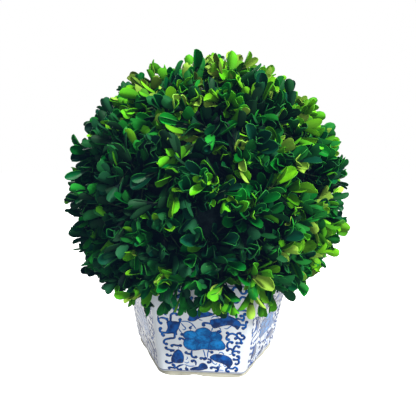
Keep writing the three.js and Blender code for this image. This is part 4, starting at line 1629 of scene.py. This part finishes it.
def floor_material(stage):
    """A floor that the camera, the shadows and the glaze each see in their own grey."""
    material, board, shader, place = new_material("studio_floor")
    path = board.add("ShaderNodeLightPath").outputs
    # Gloss sees a darker floor in front of the pot and a bright one beside it.
    depth = board.add("ShaderNodeSeparateXYZ", {"Vector": place}).outputs["Y"]
    beside = board.ramp(depth, *GLOSS_EDGE, stage.gloss_front, stage.gloss_side)
    glow = board.choose(path["Is Camera Ray"], stage.floor_glow, 1.0)
    glow = board.choose(path["Is Glossy Ray"], glow, beside)
    board.link(glow, shader.inputs["Emission Strength"])
    plain = mix_colour(board, mottling(board, place, 3.0, 0.0, 1.0), *map(grey, FLOOR_GREYS))
    plain = mix_colour(board, path["Is Diffuse Ray"], plain, grey(FLOOR_BOUNCE))
    plain = mix_colour(board, path["Is Glossy Ray"], plain, grey(FLOOR_GLOSS))
    board.link(plain, shader.inputs["Base Color"])
    shader.inputs["Emission Color"].default_value = (*grey(1), 1)
    set_values(shader, Roughness=0.9)
    return material


def set_sky(scene, stage):
    """White all round: at full strength for the camera, and weaker as a light."""
    world = bpy.data.worlds.new("studio")
    scene.world = world
    world.use_nodes = True
    board = Board(world.node_tree)
    seen = board.add("ShaderNodeLightPath").outputs["Is Camera Ray"]
    background = world.node_tree.nodes["Background"].inputs
    board.link(board.ramp(seen, 0.0, 1.0, stage.sky, 1.0), background["Strength"])
    background["Color"].default_value = (*grey(1), 1)


def set_view(scene, stage):
    """The plain view transform, with the darkest tones lifted a little towards blue."""
    view = scene.view_settings
    view.view_transform = "Standard"
    view.use_curve_mapping = True
    view.curve_mapping.black_level = [-part for part in stage.shadow]
    view.curve_mapping.update()


def place_camera(scene, stage, target):
    data = bpy.data.cameras.new("camera")
    data.sensor_width = SENSOR_WIDTH
    data.lens = stage.lens
    data.clip_start = 0.01
    camera = bpy.data.objects.new("camera", data)
    scene.collection.objects.link(camera)
    level = math.cos(stage.down)
    back = Vector((math.sin(stage.round) * level, -math.cos(stage.round) * level, math.sin(stage.down)))
    right = Vector((math.cos(stage.round), math.sin(stage.round), 0))
    up = back.cross(right)
    turned = Matrix((right, up, back)).transposed().to_4x4() @ Matrix.Rotation(stage.roll, 4, "Z")
    camera.matrix_world = Matrix.Translation(target + back * stage.distance) @ turned
    scene.camera = camera


class TOPIARY_OT_stage(bpy.types.Operator):
    """Sets a pale floor, soft lights and the camera"""

    bl_idname = "topiary.stage"
    bl_label = "Stage"

    def execute(self, context):
        scene = context.scene
        stage = scene.topiary_stage
        deselect()
        bpy.ops.mesh.primitive_plane_add(size=FLOOR_SIZE, location=(0, 0, -FLOOR_DROP))
        floor = begin("studio_floor")
        floor.data.materials.append(floor_material(stage))
        deselect()
        set_sky(scene, stage)
        set_view(scene, stage)
        target = Vector((0, 0, stage.look_height))
        for name, place, size, power, times, colour in LIGHTS:
            soft_light(name, place, target, size, times * getattr(stage, power), colour)
        place_camera(scene, stage, target)
        return {"FINISHED"}


# ---------------------------------------------------------------- add-on


class TOPIARY_PT_panel(bpy.types.Panel):
    """Lists the steps that build the topiary ball"""

    bl_idname = "TOPIARY_PT_panel"
    bl_label = "Box Topiary Ball"
    bl_space_type = "VIEW_3D"
    bl_region_type = "UI"
    bl_category = "Topiary"

    def draw(self, context):
        for operator in OPERATORS:
            self.layout.operator(operator.bl_idname)


GROUPS = {
    "topiary_pot": TOPIARY_PG_pot,
    "topiary_painting": TOPIARY_PG_painting,
    "topiary_foliage": TOPIARY_PG_foliage,
    "topiary_colours": TOPIARY_PG_colours,
    "topiary_stage": TOPIARY_PG_stage,
}
OPERATORS = (
    TOPIARY_OT_pot,
    TOPIARY_OT_foot,
    TOPIARY_OT_scrolls,
    TOPIARY_OT_washes,
    TOPIARY_OT_foam,
    TOPIARY_OT_stem,
    TOPIARY_OT_core,
    TOPIARY_OT_twigs,
    TOPIARY_OT_leaves,
    TOPIARY_OT_stage,
)


def register():
    for group in GROUPS.values():
        bpy.utils.register_class(group)
    for name, group in GROUPS.items():
        setattr(bpy.types.Scene, name, PointerProperty(type=group))
    for operator in OPERATORS:
        bpy.utils.register_class(operator)
    bpy.utils.register_class(TOPIARY_PT_panel)


def unregister():
    bpy.utils.unregister_class(TOPIARY_PT_panel)
    for operator in reversed(OPERATORS):
        bpy.utils.unregister_class(operator)
    for name, group in GROUPS.items():
        delattr(bpy.types.Scene, name)
        bpy.utils.unregister_class(group)


def main():
    register()
    bpy.ops.topiary.pot()
    bpy.ops.topiary.foot()
    bpy.ops.topiary.scrolls()
    bpy.ops.topiary.washes()
    bpy.ops.topiary.foam()
    bpy.ops.topiary.stem()
    bpy.ops.topiary.core()
    bpy.ops.topiary.twigs()
    bpy.ops.topiary.leaves()
    bpy.ops.topiary.stage()


if __name__ == "__main__":
    main()
